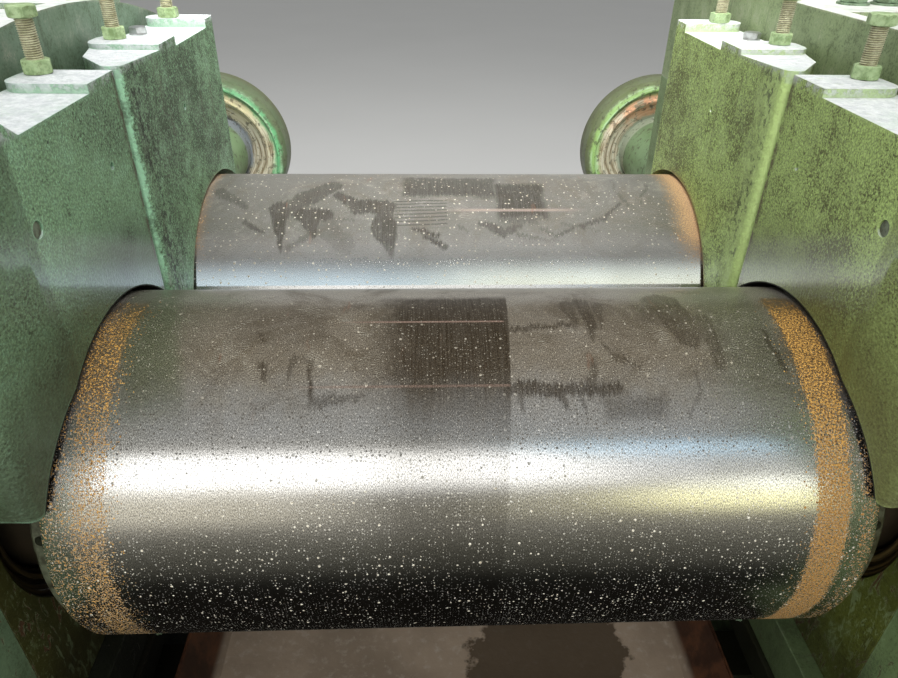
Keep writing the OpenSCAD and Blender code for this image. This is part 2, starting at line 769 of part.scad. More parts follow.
jack_screws(front_jack, front_top);  // front_right_jack_screw
mirror([1, 0, 0]) jack_screws(rear_jacks, rear_top);  // rear_left_jack_screws
jack_screws(rear_jacks, rear_top);  // rear_right_jack_screws
nip_screws();
mirror([1, 0, 0]) adjuster();  // left_adjuster
adjuster();  // right_adjuster
gear_guard(false);  // gear_guard_lower
gear_guard(true);  // gear_guard_upper
tie_beam(-roll_y);  // front_tie_beam
tie_beam(roll_y);  // rear_tie_beam
tray_rails();
drip_tray();
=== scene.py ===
import math

import bmesh
import bpy
from mathutils import Matrix, Vector


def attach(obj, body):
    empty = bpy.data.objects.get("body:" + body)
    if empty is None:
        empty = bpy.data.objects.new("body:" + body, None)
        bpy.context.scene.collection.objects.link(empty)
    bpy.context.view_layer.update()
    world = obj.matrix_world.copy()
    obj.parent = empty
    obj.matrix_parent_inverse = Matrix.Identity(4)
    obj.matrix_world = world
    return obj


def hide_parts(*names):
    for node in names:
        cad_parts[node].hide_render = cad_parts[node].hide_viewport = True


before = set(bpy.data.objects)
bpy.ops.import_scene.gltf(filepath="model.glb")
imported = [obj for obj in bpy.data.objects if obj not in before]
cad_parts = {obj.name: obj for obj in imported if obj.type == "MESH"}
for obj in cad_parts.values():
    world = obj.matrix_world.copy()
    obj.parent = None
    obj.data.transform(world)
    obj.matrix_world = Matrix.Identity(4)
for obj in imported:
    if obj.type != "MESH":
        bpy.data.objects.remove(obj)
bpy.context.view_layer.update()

# Places of the mill's main pieces, in metres, as in the part's source
ROLL_R = 0.225
ROLL_Y = 0.2275
AXIS_Z = 0.95
FACE_X = 0.45
COLLAR_X = 0.472
FRAME_MID = 0.668
CAP_Z = 1.25
FRONT_OUT = 0.6575
REAR_OUT = 0.7595
FRONT_PAD_Z = AXIS_Z + 0.467
REAR_PAD_Z = AXIS_Z + 0.470
REAR_LEDGE_Z = AXIS_Z + 0.457
DRUM_Y = REAR_OUT + 0.330
FRONT_JACKS = [(0.494, -0.085)]
REAR_JACKS = [(0.487, 0.135), (0.476, 0.350)]
BED_TOP = 0.25


# ---------------------------------------------------------------- finishes
class Signal:
    """A shader value: arithmetic on it adds the Math nodes."""

    def __init__(self, finish, socket):
        self.finish, self.socket = finish, socket

    def _op(self, kind, *values):
        return self.finish.maths(kind, *values)

    def __add__(self, other):
        return self._op("ADD", self, other)

    def __radd__(self, other):
        return self._op("ADD", other, self)

    def __sub__(self, other):
        return self._op("SUBTRACT", self, other)

    def __rsub__(self, other):
        return self._op("SUBTRACT", other, self)

    def __mul__(self, other):
        return self._op("MULTIPLY", self, other)

    def __rmul__(self, other):
        return self._op("MULTIPLY", other, self)

    def __truediv__(self, other):
        return self._op("DIVIDE", self, other)

    def __rtruediv__(self, other):
        return self._op("DIVIDE", other, self)

    def __pow__(self, other):
        return self._op("SQRT", self) if other == 0.5 else self._op("POWER", self, other)

    def __neg__(self):
        return self._op("MULTIPLY", self, -1.0)

    def __abs__(self):
        return self._op("ABSOLUTE", self)

    def __gt__(self, other):
        return self._op("GREATER_THAN", self, other)

    def __lt__(self, other):
        return self._op("LESS_THAN", self, other)

    def clip(self):
        return self.finish.node("ShaderNodeClamp", {0: self})

    def ramp(self, start, end, low=0.0, high=1.0):
        """Smooth change from low to high while the value goes from start to end."""
        inputs = {0: self, 1: start, 2: end, 3: low, 4: high}
        if start > end:
            inputs = {0: self, 1: end, 2: start, 3: high, 4: low}
        return self.finish.node("ShaderNodeMapRange", inputs, interpolation_type="SMOOTHSTEP")


class Finish:
    """One material. Lengths in its patterns are in metres of the row frame at rest."""

    def __init__(self, name):
        self.material = bpy.data.materials.new(name)
        self.material.use_nodes = True
        self.tree = self.material.node_tree
        self.tree.nodes.clear()
        self.place = self.node("ShaderNodeTexCoord", out="Object")
        self.facing = self.node("ShaderNodeTexCoord", out="Normal")
        self.x, self.y, self.z = self.parts(self.place)

    def node(self, kind, inputs=None, out=0, **settings):
        made = self.tree.nodes.new(kind)
        for key, value in settings.items():
            setattr(made, key, value)
        for key, value in (inputs or {}).items():
            if isinstance(value, Signal):
                self.tree.links.new(value.socket, made.inputs[key])
            else:
                made.inputs[key].default_value = value
        if isinstance(out, tuple):
            return [Signal(self, made.outputs[name]) for name in out]
        return Signal(self, made.outputs[out]) if made.outputs else None

    def maths(self, kind, *values):
        return self.node("ShaderNodeMath", dict(enumerate(values)), operation=kind)

    def fused(self, a, b, c):
        """a * b + c in one node."""
        return self.maths("MULTIPLY_ADD", a, b, c)

    def parts(self, vector):
        return self.node("ShaderNodeSeparateXYZ", {0: vector}, out=(0, 1, 2))

    def vector(self, x, y, z):
        return self.node("ShaderNodeCombineXYZ", {0: x, 1: y, 2: z})

    def scaled(self, vector, factors):
        return self.node("ShaderNodeVectorMath", {0: vector, 1: factors}, operation="MULTIPLY")

    def shifted(self, vector, offset):
        return self.node("ShaderNodeVectorMath", {0: vector, 1: offset}, operation="ADD")

    def shade(self, colour, factor):
        return self.node("ShaderNodeVectorMath", {0: colour, "Scale": factor}, operation="SCALE")

    def noise(self, scale, detail=3.0, rough=0.55, at=None, warp=0.0):
        inputs = {"Vector": at or self.place, "Scale": scale, "Detail": detail,
                  "Roughness": rough, "Distortion": warp}
        return self.node("ShaderNodeTexNoise", inputs)

    def cells(self, scale, at=None):
        return self.node("ShaderNodeTexVoronoi", {"Vector": at or self.place, "Scale": scale},
                         out="Distance")

    def dots(self, spacing, size, share, at=None, kind="2D"):
        """Round specks of different sizes, at most one in each cell of the spacing."""
        inputs = {"Vector": at or self.place, "Scale": 1.0 / spacing}
        near, tone = self.node("ShaderNodeTexVoronoi", inputs, out=("Distance", "Color"),
                               voronoi_dimensions=kind)
        chance, spread, _ = self.parts(tone)
        radius = size * (0.3 + 0.7 * spread * spread)
        return (radius - near * spacing).ramp(-0.15 * size, 0.15 * size) * (chance < share)

    def mix(self, mask, first, second):
        """Colour blend: first where the mask is 0, second where it is 1."""
        def colour(value):
            return value if isinstance(value, Signal) else (*value, 1.0)
        inputs = {0: mask, 6: colour(first), 7: colour(second)}
        return self.node("ShaderNodeMix", inputs, out=2, data_type="RGBA")

    def level(self, mask, first, second):
        """Number blend: first where the mask is 0, second where it is 1."""
        return first + mask * (second - first)

    def bend(self, radius):
        """How far the surface turns within the radius: 0 on a flat face."""
        soft = self.node("ShaderNodeBevel", {"Radius": radius}, samples=1)
        true = self.node("ShaderNodeNewGeometry", out="Normal")
        same = self.node("ShaderNodeVectorMath", {0: soft, 1: true}, out="Value",
                         operation="DOT_PRODUCT")
        return 1.0 - same

    def edge(self, radius, start=0.03, end=0.15):
        """1 along edges of the shape, 0 away from them."""
        return self.bend(radius).ramp(start, end)

    def bump(self, height, depth):
        return self.node("ShaderNodeBump", {"Height": height, "Distance": depth, "Strength": 1.0})

    def surface(self, colour, rough, metal=0.0, normal=None, coat=0.0, coat_rough=0.2, spec=0.5):
        inputs = {"Base Color": colour, "Roughness": rough, "Metallic": metal,
                  "Coat Weight": coat, "Coat Roughness": coat_rough, "Specular IOR Level": spec}
        if normal:
            inputs["Normal"] = normal
        shader = self.node("ShaderNodeBsdfPrincipled", inputs)
        self.node("ShaderNodeOutputMaterial", {"Surface": shader})
        return self.material


def upward(f, start=0.55, end=0.85):
    return f.parts(f.facing)[2].ramp(start, end)


def cast_paint(name, body, dark, pale, dust=0.0, chips=0.0, streaks=0.5, oil=0.0, wear=0.6,
               gloss=0.42, left_body=None, outer=None, shade_strength=(0.5, 0.5)):
    """Old machine paint on a casting: mottled, streaked, worn at edges, dusty on top, with painted shade deep
    between the frames.
    """
    f = Finish(name)
    if left_body:
        body = f.mix(f.x.ramp(-0.05, 0.05), left_body, body)
    if outer:
        body = f.mix(abs(f.x).ramp(0.57, 0.62), body, outer)
    broad = f.noise(3.2, 4.0, 0.6)
    cloud = f.noise(17.0, 5.0, 0.62)
    grain = f.noise(420.0, 2.0, 0.5)
    colour = f.mix(broad.ramp(0.35, 0.68) * 0.35, body, dark)
    colour = f.mix(cloud.ramp(0.52, 0.78) * 0.32, colour, dark)
    colour = f.mix(cloud.ramp(0.46, 0.25) * 0.22, colour, pale)
    # dirt that ran down the faces
    runs = f.noise(1.0, 4.0, 0.6, at=f.scaled(f.place, (95.0, 95.0, 7.0)))
    run_mask = runs.ramp(0.56, 0.72) * (1.0 - upward(f)) * streaks
    colour = f.mix(run_mask * 0.55, colour, dark)
    # fine specks
    fleck = f.cells(260.0)
    fleck_mask = fleck.ramp(0.26, 0.12) * f.noise(28.0, 3.0, 0.6).ramp(0.5, 0.68)
    colour = f.mix(fleck_mask * 0.75, colour, (0.022, 0.022, 0.012))
    light = f.cells(190.0, at=f.shifted(f.place, (0.31, 0.17, 0.05)))
    light_mask = light.ramp(0.17, 0.08) * f.noise(21.0, 2.0, 0.5).ramp(0.55, 0.7)
    colour = f.mix(light_mask * 0.5, colour, pale)
    speck = f.noise(240.0, 4.0, 0.85) + (cloud - 0.5) * 0.6
    colour = f.mix(speck.ramp(0.52, 0.62) * 0.6, colour, dark)
    colour = f.mix(speck.ramp(0.42, 0.30) * 0.35, colour, pale)
    rough = f.level(cloud.ramp(0.3, 0.7), gloss, gloss + 0.16)
    height = grain * 0.35 + cloud * 0.65 + speck * 0.3
    if chips:
        slant = f.scaled(f.place, (1.0, 2.1, 0.8))
        chip = f.noise(34.0, 4.0, 0.68, at=slant, warp=1.2)
        limit = 0.64 - 0.06 * chips
        chip_mask = chip.ramp(limit, limit + 0.02) * f.noise(6.0, 2.0, 0.5).ramp(0.38, 0.55) * chips
        ring = chip.ramp(limit - 0.028, limit) * (1.0 - chip_mask)
        colour = f.mix(ring * 0.3 * chips, colour, pale)
        colour = f.mix(chip_mask, colour, f.mix(f.noise(60.0), (0.045, 0.026, 0.014), (0.14, 0.066, 0.026)))
        rough = f.level(chip_mask, rough, 0.62)
        height = height - chip_mask * 0.9
    if wear:
        rub = f.edge(0.006) * f.noise(46.0, 4.0, 0.65).ramp(0.36, 0.58) * wear
        colour = f.mix(rub, colour, pale)
    if oil:
        film = f.noise(2.6, 4.0, 0.6, at=f.shifted(f.place, (3.0, 1.0, 2.0))).ramp(0.42, 0.66) * oil
        colour = f.mix(film * 0.8, colour, (0.030, 0.021, 0.010))
        rough = f.level(film, rough, 0.28)
    # painted shade deep inside, between the frames: near-black, with its strength set for each side
    recess_shade = f.z.ramp(0.80, 0.70) * abs(f.x).ramp(0.560, 0.535) * f.z.ramp(0.20, 0.30)
    colour = f.mix(recess_shade * f.level(f.x.ramp(-0.05, 0.05), *shade_strength), colour, (0.006, 0.005, 0.003))
    if dust:
        settle = upward(f) * (1.0 - recess_shade) * dust * (0.72 + 0.28 * f.noise(30.0, 5.0, 0.65).ramp(0.35, 0.6))
        powder = f.mix(f.noise(55.0, 5.0, 0.7).ramp(0.3, 0.72), (0.60, 0.61, 0.60), (0.80, 0.80, 0.78))
        powder = f.mix(f.noise(9.0, 4.0, 0.6).ramp(0.52, 0.72) * 0.45, powder, (0.42, 0.46, 0.40))
        colour = f.mix(settle, colour, powder)
        rough = f.level(settle, rough, 0.88)
        height = height + settle * f.noise(120.0, 4.0, 0.7) * 1.4
    return f.surface(colour, rough, normal=f.bump(height, 0.0007), spec=0.5)


def guide_paint():
    """Paint of the stock guides: cooler and darker on the left, yellower and brighter on the right; the split
    is partly the paint's own tone and partly painted light.
    """
    f = Finish("guide_paint")
    right = f.x.ramp(-0.05, 0.05)
    rear = f.y.ramp(-0.062, -0.060)
    side_face = 1.0 - upward(f)
    # left and right tones: partly the paint's own colour, partly painted light (cool dim light on the left,
    # warm bright light on the right)
    body = f.mix(right, (0.190, 0.315, 0.170), (0.355, 0.475, 0.150))
    dark = f.mix(right, (0.036, 0.044, 0.022), (0.080, 0.076, 0.024))
    pale = f.mix(right, (0.33, 0.60, 0.39), (0.50, 0.66, 0.24))
    broad = f.noise(5.0, 5.0, 0.62)
    cloud = f.noise(21.0, 6.0, 0.68)
    speck = f.noise(330.0, 2.0, 0.75)
    colour = f.mix(broad.ramp(0.42, 0.68) * 0.30, body, dark)
    colour = f.mix(cloud.ramp(0.47, 0.30) * 0.22, colour, pale)
    # dirt speckles, densest in the middle of the rear guides
    upper = f.z.ramp(1.05, 1.17)
    dense = f.level(rear, f.level(right, 0.32, 0.38), f.level(right, 0.32 + 0.20 * upper, 0.47))
    grimy = speck + (cloud - 0.5) * 0.60 + (broad - 0.5) * 0.40 + (dense - 0.5) * 0.50
    colour = f.mix(grimy.ramp(0.49, 0.57) * 0.80, colour, dark)
    colour = f.mix(speck.ramp(0.44, 0.32) * 0.55, colour, pale)
    fleck = f.noise(400.0, 1.0, 0.5, at=f.shifted(f.place, (0.7, 0.3, 0.9)))
    colour = f.shade(colour, fleck.ramp(0.30, 0.70, 1.28, 0.66))
    pits = f.dots(0.0075, 0.0016, 0.5, kind="3D") * f.noise(13.0, 3.0, 0.6).ramp(0.44, 0.60)
    colour = f.mix(pits * 0.85, colour, (0.014, 0.018, 0.009))
    brown = f.noise(1.0, 5.0, 0.62, at=f.scaled(f.place, (60.0, 60.0, 7.0)))
    colour = f.mix(brown.ramp(0.58, 0.70) * side_face * rear * upper * 0.45, colour, (0.085, 0.060, 0.030))
    # below the rolls' tops the front guides' faces are painted darker close to the rolls: a painted
    # reflection of the dark roll
    y_roll = abs(f.y) - ROLL_Y
    reach = (y_roll * y_roll + (f.z - AXIS_Z) * (f.z - AXIS_Z)) ** 0.5
    roll_reflection_dark = reach.ramp(0.36, 0.25) * (1.0 - rear) * (0.95 + 0.5 * (broad - 0.5))
    colour = f.mix(roll_reflection_dark.clip() * 0.75, colour, dark)
    # a thin near-black band along the front guides' edge at the rolls: painted shade of the gap
    foot = reach.ramp(0.2335, 0.2322) * (1.0 - rear)
    rusty = reach.ramp(0.2365, 0.2325) * rear * f.level(right, 0.5, 0.9)
    colour = f.mix(rusty, colour, (0.17, 0.085, 0.04))
    # chipped front corner of the rear guides, scuffed white at its foot
    corner = rear * side_face
    strip = corner * (f.y + (f.noise(90.0, 6.0, 0.8) - 0.5) * 0.03).ramp(-0.050, -0.054)
    colour = f.mix(strip * (0.35 + 0.65 * cloud.ramp(0.58, 0.46)), colour, f.shade(pale, 1.25))
    # painted light: the right rear guide's front corner is painted paler, as if more brightly lit
    colour = f.mix(corner * right * (f.y + (cloud - 0.5) * 0.1).ramp(0.03, -0.05) * 0.75, colour, pale)
    chips = corner * f.y.ramp(-0.050, -0.040) * f.y.ramp(0.035, -0.020)
    chips = chips * f.noise(85.0, 6.0, 0.74).ramp(0.52, 0.58) * f.noise(9.0, 3.0).ramp(0.38, 0.52)
    colour = f.mix(chips * f.level(right, 0.9, 0.7), colour, (0.020, 0.020, 0.010))
    scuff = corner * f.y.ramp(0.06, -0.02) * f.z.ramp(1.18, 1.08) * (1.0 - right)
    scuff = scuff * f.noise(1.0, 5.0, 0.75, at=f.scaled(f.place, (150.0, 150.0, 40.0))).ramp(0.50, 0.60)
    colour = f.mix(scuff * 0.75, colour, (0.50, 0.58, 0.50))
    crud = (1.0 - rear) * side_face * f.y.ramp(-0.078, -0.067)
    colour = f.mix(crud * f.noise(50.0, 5.0, 0.7).ramp(0.40, 0.56), colour, (0.075, 0.050, 0.030))
    # rubbed edges
    bend = f.bend(0.0047)
    rub = bend.ramp(0.002, 0.025) * f.noise(55.0, 5.0, 0.7).ramp(0.33, 0.52) * f.z.ramp(1.02, 1.06)
    colour = f.mix(rub * 0.85, colour, pale)
    nose = f.y.ramp(-0.326, -0.333) * side_face
    colour = f.mix(nose * 0.45, colour, dark)
    # the painted shade of the gap along the front guides' edge at the rolls
    colour = f.mix(foot, colour, (0.010, 0.009, 0.006))
    rough = f.level(cloud.ramp(0.3, 0.7), 0.40, 0.60)
    sheen = f.z + f.y * 0.494
    sleek = sheen.ramp(1.175, 1.145) * sheen.ramp(1.05, 1.08) * (1.0 - rear)
    rough = f.level(sleek, rough, 0.24 + 0.16 * cloud)
    rough = f.level(foot, rough, 0.8)
    peel = f.noise(240.0, 3.0, 0.60)
    height = peel * 1.3 + cloud * 0.8 + speck * 0.3 - chips * 0.6
    # settled pale dust on top that spills over the edges
    crest = f.level(rear, FRONT_PAD_Z, REAR_PAD_Z) - f.z
    flake = f.noise(75.0, 5.0, 0.72)
    spill = crest.ramp(0.014, 0.0) * flake.ramp(0.44, 0.54) * 0.8
    steps = crest.ramp(0.018, 0.014) * abs(f.parts(f.facing)[1]).ramp(0.4, 0.7)
    colour = f.mix(steps * 0.7, colour, f.mix(right, (0.36, 0.54, 0.40), (0.45, 0.56, 0.34)))
    top = upward(f, 0.30, 0.70) * f.z.ramp(1.29, 1.33)
    settle = (top * (0.93 - 0.30 * flake.ramp(0.56, 0.70)) + spill * side_face).clip()
    powder = f.mix(f.noise(95.0, 6.0, 0.74).ramp(0.34, 0.66), (0.50, 0.52, 0.54), (0.71, 0.72, 0.73))
    powder = f.mix(f.noise(14.0, 6.0, 0.66).ramp(0.48, 0.66) * 0.5, powder, (0.45, 0.55, 0.47))
    powder = f.mix(bend.ramp(0.005, 0.05) * 0.5, powder, f.mix(right, (0.45, 0.62, 0.50), (0.55, 0.62, 0.42)))
    colour = f.mix(settle, colour, powder)
    rough = f.level(settle, rough, 0.9)
    height = height + settle * f.noise(190.0, 5.0, 0.75) * 1.6
    coat = sleek * side_face * (1.0 - foot)
    return f.surface(colour, rough, normal=f.bump(height, 0.0013), coat=coat, coat_rough=0.10)


def drum_paint():
    """Adjuster drums: green rim with a dark edge, brown and pale grease rings, grey hub."""
    f = Finish("drum_paint")
    right = f.x.ramp(-0.05, 0.05)
    dx, dz = abs(f.x) - FRAME_MID, f.z - AXIS_Z
    radius = (dx * dx + dz * dz) ** 0.5
    cloud = f.noise(24.0, 5.0, 0.68)
    rings = f.noise(1.0, 4.0, 0.65, at=f.vector(radius * 130.0, dx * 9.0, dz * 9.0))
    wander = radius + (cloud - 0.5) * 0.036
    green = f.mix(right, (0.120, 0.350, 0.160), (0.230, 0.370, 0.120))
    colour = f.mix(rings.ramp(0.46, 0.60) * 0.6, green, (0.40, 0.54, 0.36))
    grease = f.mix(rings.ramp(0.40, 0.58), (0.200, 0.155, 0.085), (0.58, 0.55, 0.42))
    colour = f.mix(wander.ramp(0.184, 0.172), colour, grease)
    stain = wander.ramp(0.190, 0.170) * f.z.ramp(1.00, 1.08) * cloud.ramp(0.40, 0.54)
    colour = f.mix(stain * 0.85, colour, f.mix(right, (0.60, 0.54, 0.33), (0.70, 0.38, 0.22)))
    hub = f.mix(right, (0.230, 0.255, 0.270), (0.310, 0.350, 0.260))
    colour = f.mix(wander.ramp(0.118, 0.108), colour, hub)
    plain = f.mix(rings.ramp(0.46, 0.60) * 0.4, (0.130, 0.200, 0.095), (0.20, 0.29, 0.16))
    away = f.maths("MAXIMUM", f.y.ramp(DRUM_Y + 0.060, DRUM_Y + 0.075),
                   f.y.ramp(DRUM_Y - 0.002, DRUM_Y - 0.012) * radius.ramp(0.140, 0.130))
    colour = f.mix(away, colour, plain)
    colour = f.mix(wander.ramp(0.196, 0.208) * 0.85, colour, (0.075, 0.075, 0.035))
    colour = f.mix(f.noise(60.0, 5.0, 0.7).ramp(0.54, 0.62) * 0.7, colour, (0.050, 0.045, 0.025))
    return f.surface(colour, f.level(cloud, 0.35, 0.65), normal=f.bump(cloud + rings * 0.5, 0.0010))


def cloud_patch(f, along, around, place, half):
    """A soft stain on a roll: 1 inside, 0 outside; place and half sizes in metres."""
    reach = f.maths("MAXIMUM", abs(along - place[0]) - half[0], abs(around - place[1]) - half[1])
    return reach.ramp(0.005, -0.009)


def stroke(f, along, around, start, end, widths, strength):
    """A tapered wiped line between two points on a roll."""
    (x, y), length = start, math.dist(start, end)
    dx, dy = (end[0] - x) / length, (end[1] - y) / length
    u = f.fused(around, dy, f.fused(along, dx, -x * dx - y * dy))
    v = f.fused(around, dx, f.fused(along, -dy, x * dy - y * dx))
    held = f.node("ShaderNodeClamp", {0: u, 2: length})
    off = u - held
    reach = f.fused(held, (widths[0] - widths[1]) / length, f.fused(off, off, v * v) ** 0.5)
    return reach.ramp(widths[0] + 0.0020, widths[0] - 0.0030, 0.0, strength)


# Stains of the rolls, in millimetres along and round the roll: start, end, half widths, strength
FRONT_STROKES = [
    ((-192, 272), (-174, 272), 3, 4, 0.5), ((-174, 272), (-169, 219), 4, 3, 0.85),
    ((-167, 217), (-116, 224), 7, 5, 0.6), ((-237, 315), (-229, 300), 3, 3, 0.7),
    ((-227, 262), (-220, 247), 5, 3, 0.8), ((-192, 272), (-194, 247), 5, 2, 0.7),
    ((-130, 367), (-83, 366), 8, 8, 0.4), ((52, 315), (124, 324), 5, 5, 0.85),
    ((47, 233), (167, 229), 9, 7, 0.9), ((56, 232), (60, 205), 6, 2, 0.7),
    ((102, 230), (108, 206), 6, 2, 0.7), ((122, 230), (127, 207), 5, 2, 0.6),
    ((139, 239), (145, 265), 6, 3, 0.6), ((161, 291), (167, 265), 2, 2, 0.8),
    ((167, 268), (195, 258), 5, 3, 0.6), ((129, 368), (132, 318), 10, 4, 0.6),
    ((148, 372), (150, 300), 12, 3, 0.75), ((168, 366), (160, 322), 8, 3, 0.6),
    ((259, 251), (259, 228), 2, 3, 0.5), ((259, 228), (240, 196), 3, 2, 0.5),
    ((354, 312), (361, 255), 3, 5, 0.65), ((250, 372), (262, 300), 26, 16, 0.65),
    ((285, 330), (290, 255), 13, 6, 0.5)]
FRONT_CLOUDS = [
    ((185, 208), (36, 15), 0.5), ((232, 345), (22, 26), 0.45), ((-40, 345), (70, 26), 0.25),
    ((-60, 250), (60, 40), 0.25), ((-215, 330), (60, 40), 0.25)]
REAR_STROKES = [
    ((-285, 264), (-277, 180), 17, 2, 0.9), ((-275, 262), (-248, 285), 16, 18, 0.75),
    ((-248, 285), (-203, 331), 20, 18, 0.7), ((-336, 237), (-306, 217), 6, 3, 0.7),
    ((-244, 251), (-204, 250), 16, 12, 0.9), ((-231, 235), (-225, 204), 18, 3, 0.85),
    ((-223, 220), (-265, 185), 7, 6, 0.45), ((-256, 244), (-160, 241), 2, 2, 0.6),
    ((-190, 300), (-153, 270), 10, 17, 0.85), ((-153, 270), (-108, 268), 17, 18, 0.85),
    ((-108, 273), (-110, 223), 12, 21, 0.85), ((-110, 223), (-97, 170), 24, 2, 0.9),
    ((-205, 223), (-172, 192), 20, 17, 0.3), ((-63, 225), (-24, 208), 3, 5, 0.95),
    ((-43, 208), (-11, 188), 3, 6, 0.95), ((10, 229), (29, 216), 2, 2, 0.7),
    ((-392, 311), (-342, 271), 12, 8, 0.55), ((49, 232), (87, 218), 5, 11, 0.75),
    ((87, 218), (117, 229), 11, 4, 0.7), ((109, 210), (183, 198), 4, 1, 0.5),
    ((149, 225), (175, 208), 2, 3, 0.6), ((175, 208), (222, 232), 3, 3, 0.7),
    ((221, 229), (253, 243), 5, 4, 0.7), ((258, 240), (290, 278), 5, 3, 0.7),
    ((186, 232), (244, 218), 2, 1, 0.6), ((292, 360), (286, 324), 4, 3, 0.4),
    ((286, 324), (302, 275), 3, 4, 0.4), ((350, 336), (324, 283), 4, 3, 0.45)]
REAR_CLOUDS = [
    ((0, 335), (82, 38), 0.85), ((120, 292), (43, 50), 0.95), ((62, 310), (22, 20), 0.55),
    ((112, 240), (34, 9), 0.6)]


def stains(f, at, strokes, clouds):
    """Smudges of oil and wiped marks with ragged borders, combed round the roll."""
    fine = f.noise(1.0, 5.0, 0.80, at=f.scaled(at, (330.0, 26.0, 1.0)))
    slow = f.node("ShaderNodeTexNoise", {"Vector": at, "Scale": 26.0, "Detail": 4.0}, out="Color")
    sx, sy, _ = f.parts(slow)
    x, y, _ = f.parts(at)
    x = x + (sx - 0.5) * 0.018
    y = y + (fine - 0.5) * 0.042 + (sy - 0.5) * 0.016
    total = None
    for start, end, *widths, strength in strokes:
        ends = [tuple(v / 1000 for v in point) for point in (start, end)]
        mark = stroke(f, x, y, *ends, [w / 1000 for w in widths], strength)
        total = mark if total is None else f.maths("MAXIMUM", total, mark)
    for place, half, strength in clouds:
        reach = [tuple(v / 1000 for v in pair) for pair in (place, half)]
        total = f.maths("MAXIMUM", total, cloud_patch(f, x, y, *reach) * strength)
    brushed = f.noise(1.0, 5.0, 0.8, at=f.scaled(at, (420.0, 20.0, 1.0)))
    return total * brushed.ramp(0.34, 0.60, 0.60, 1.0)


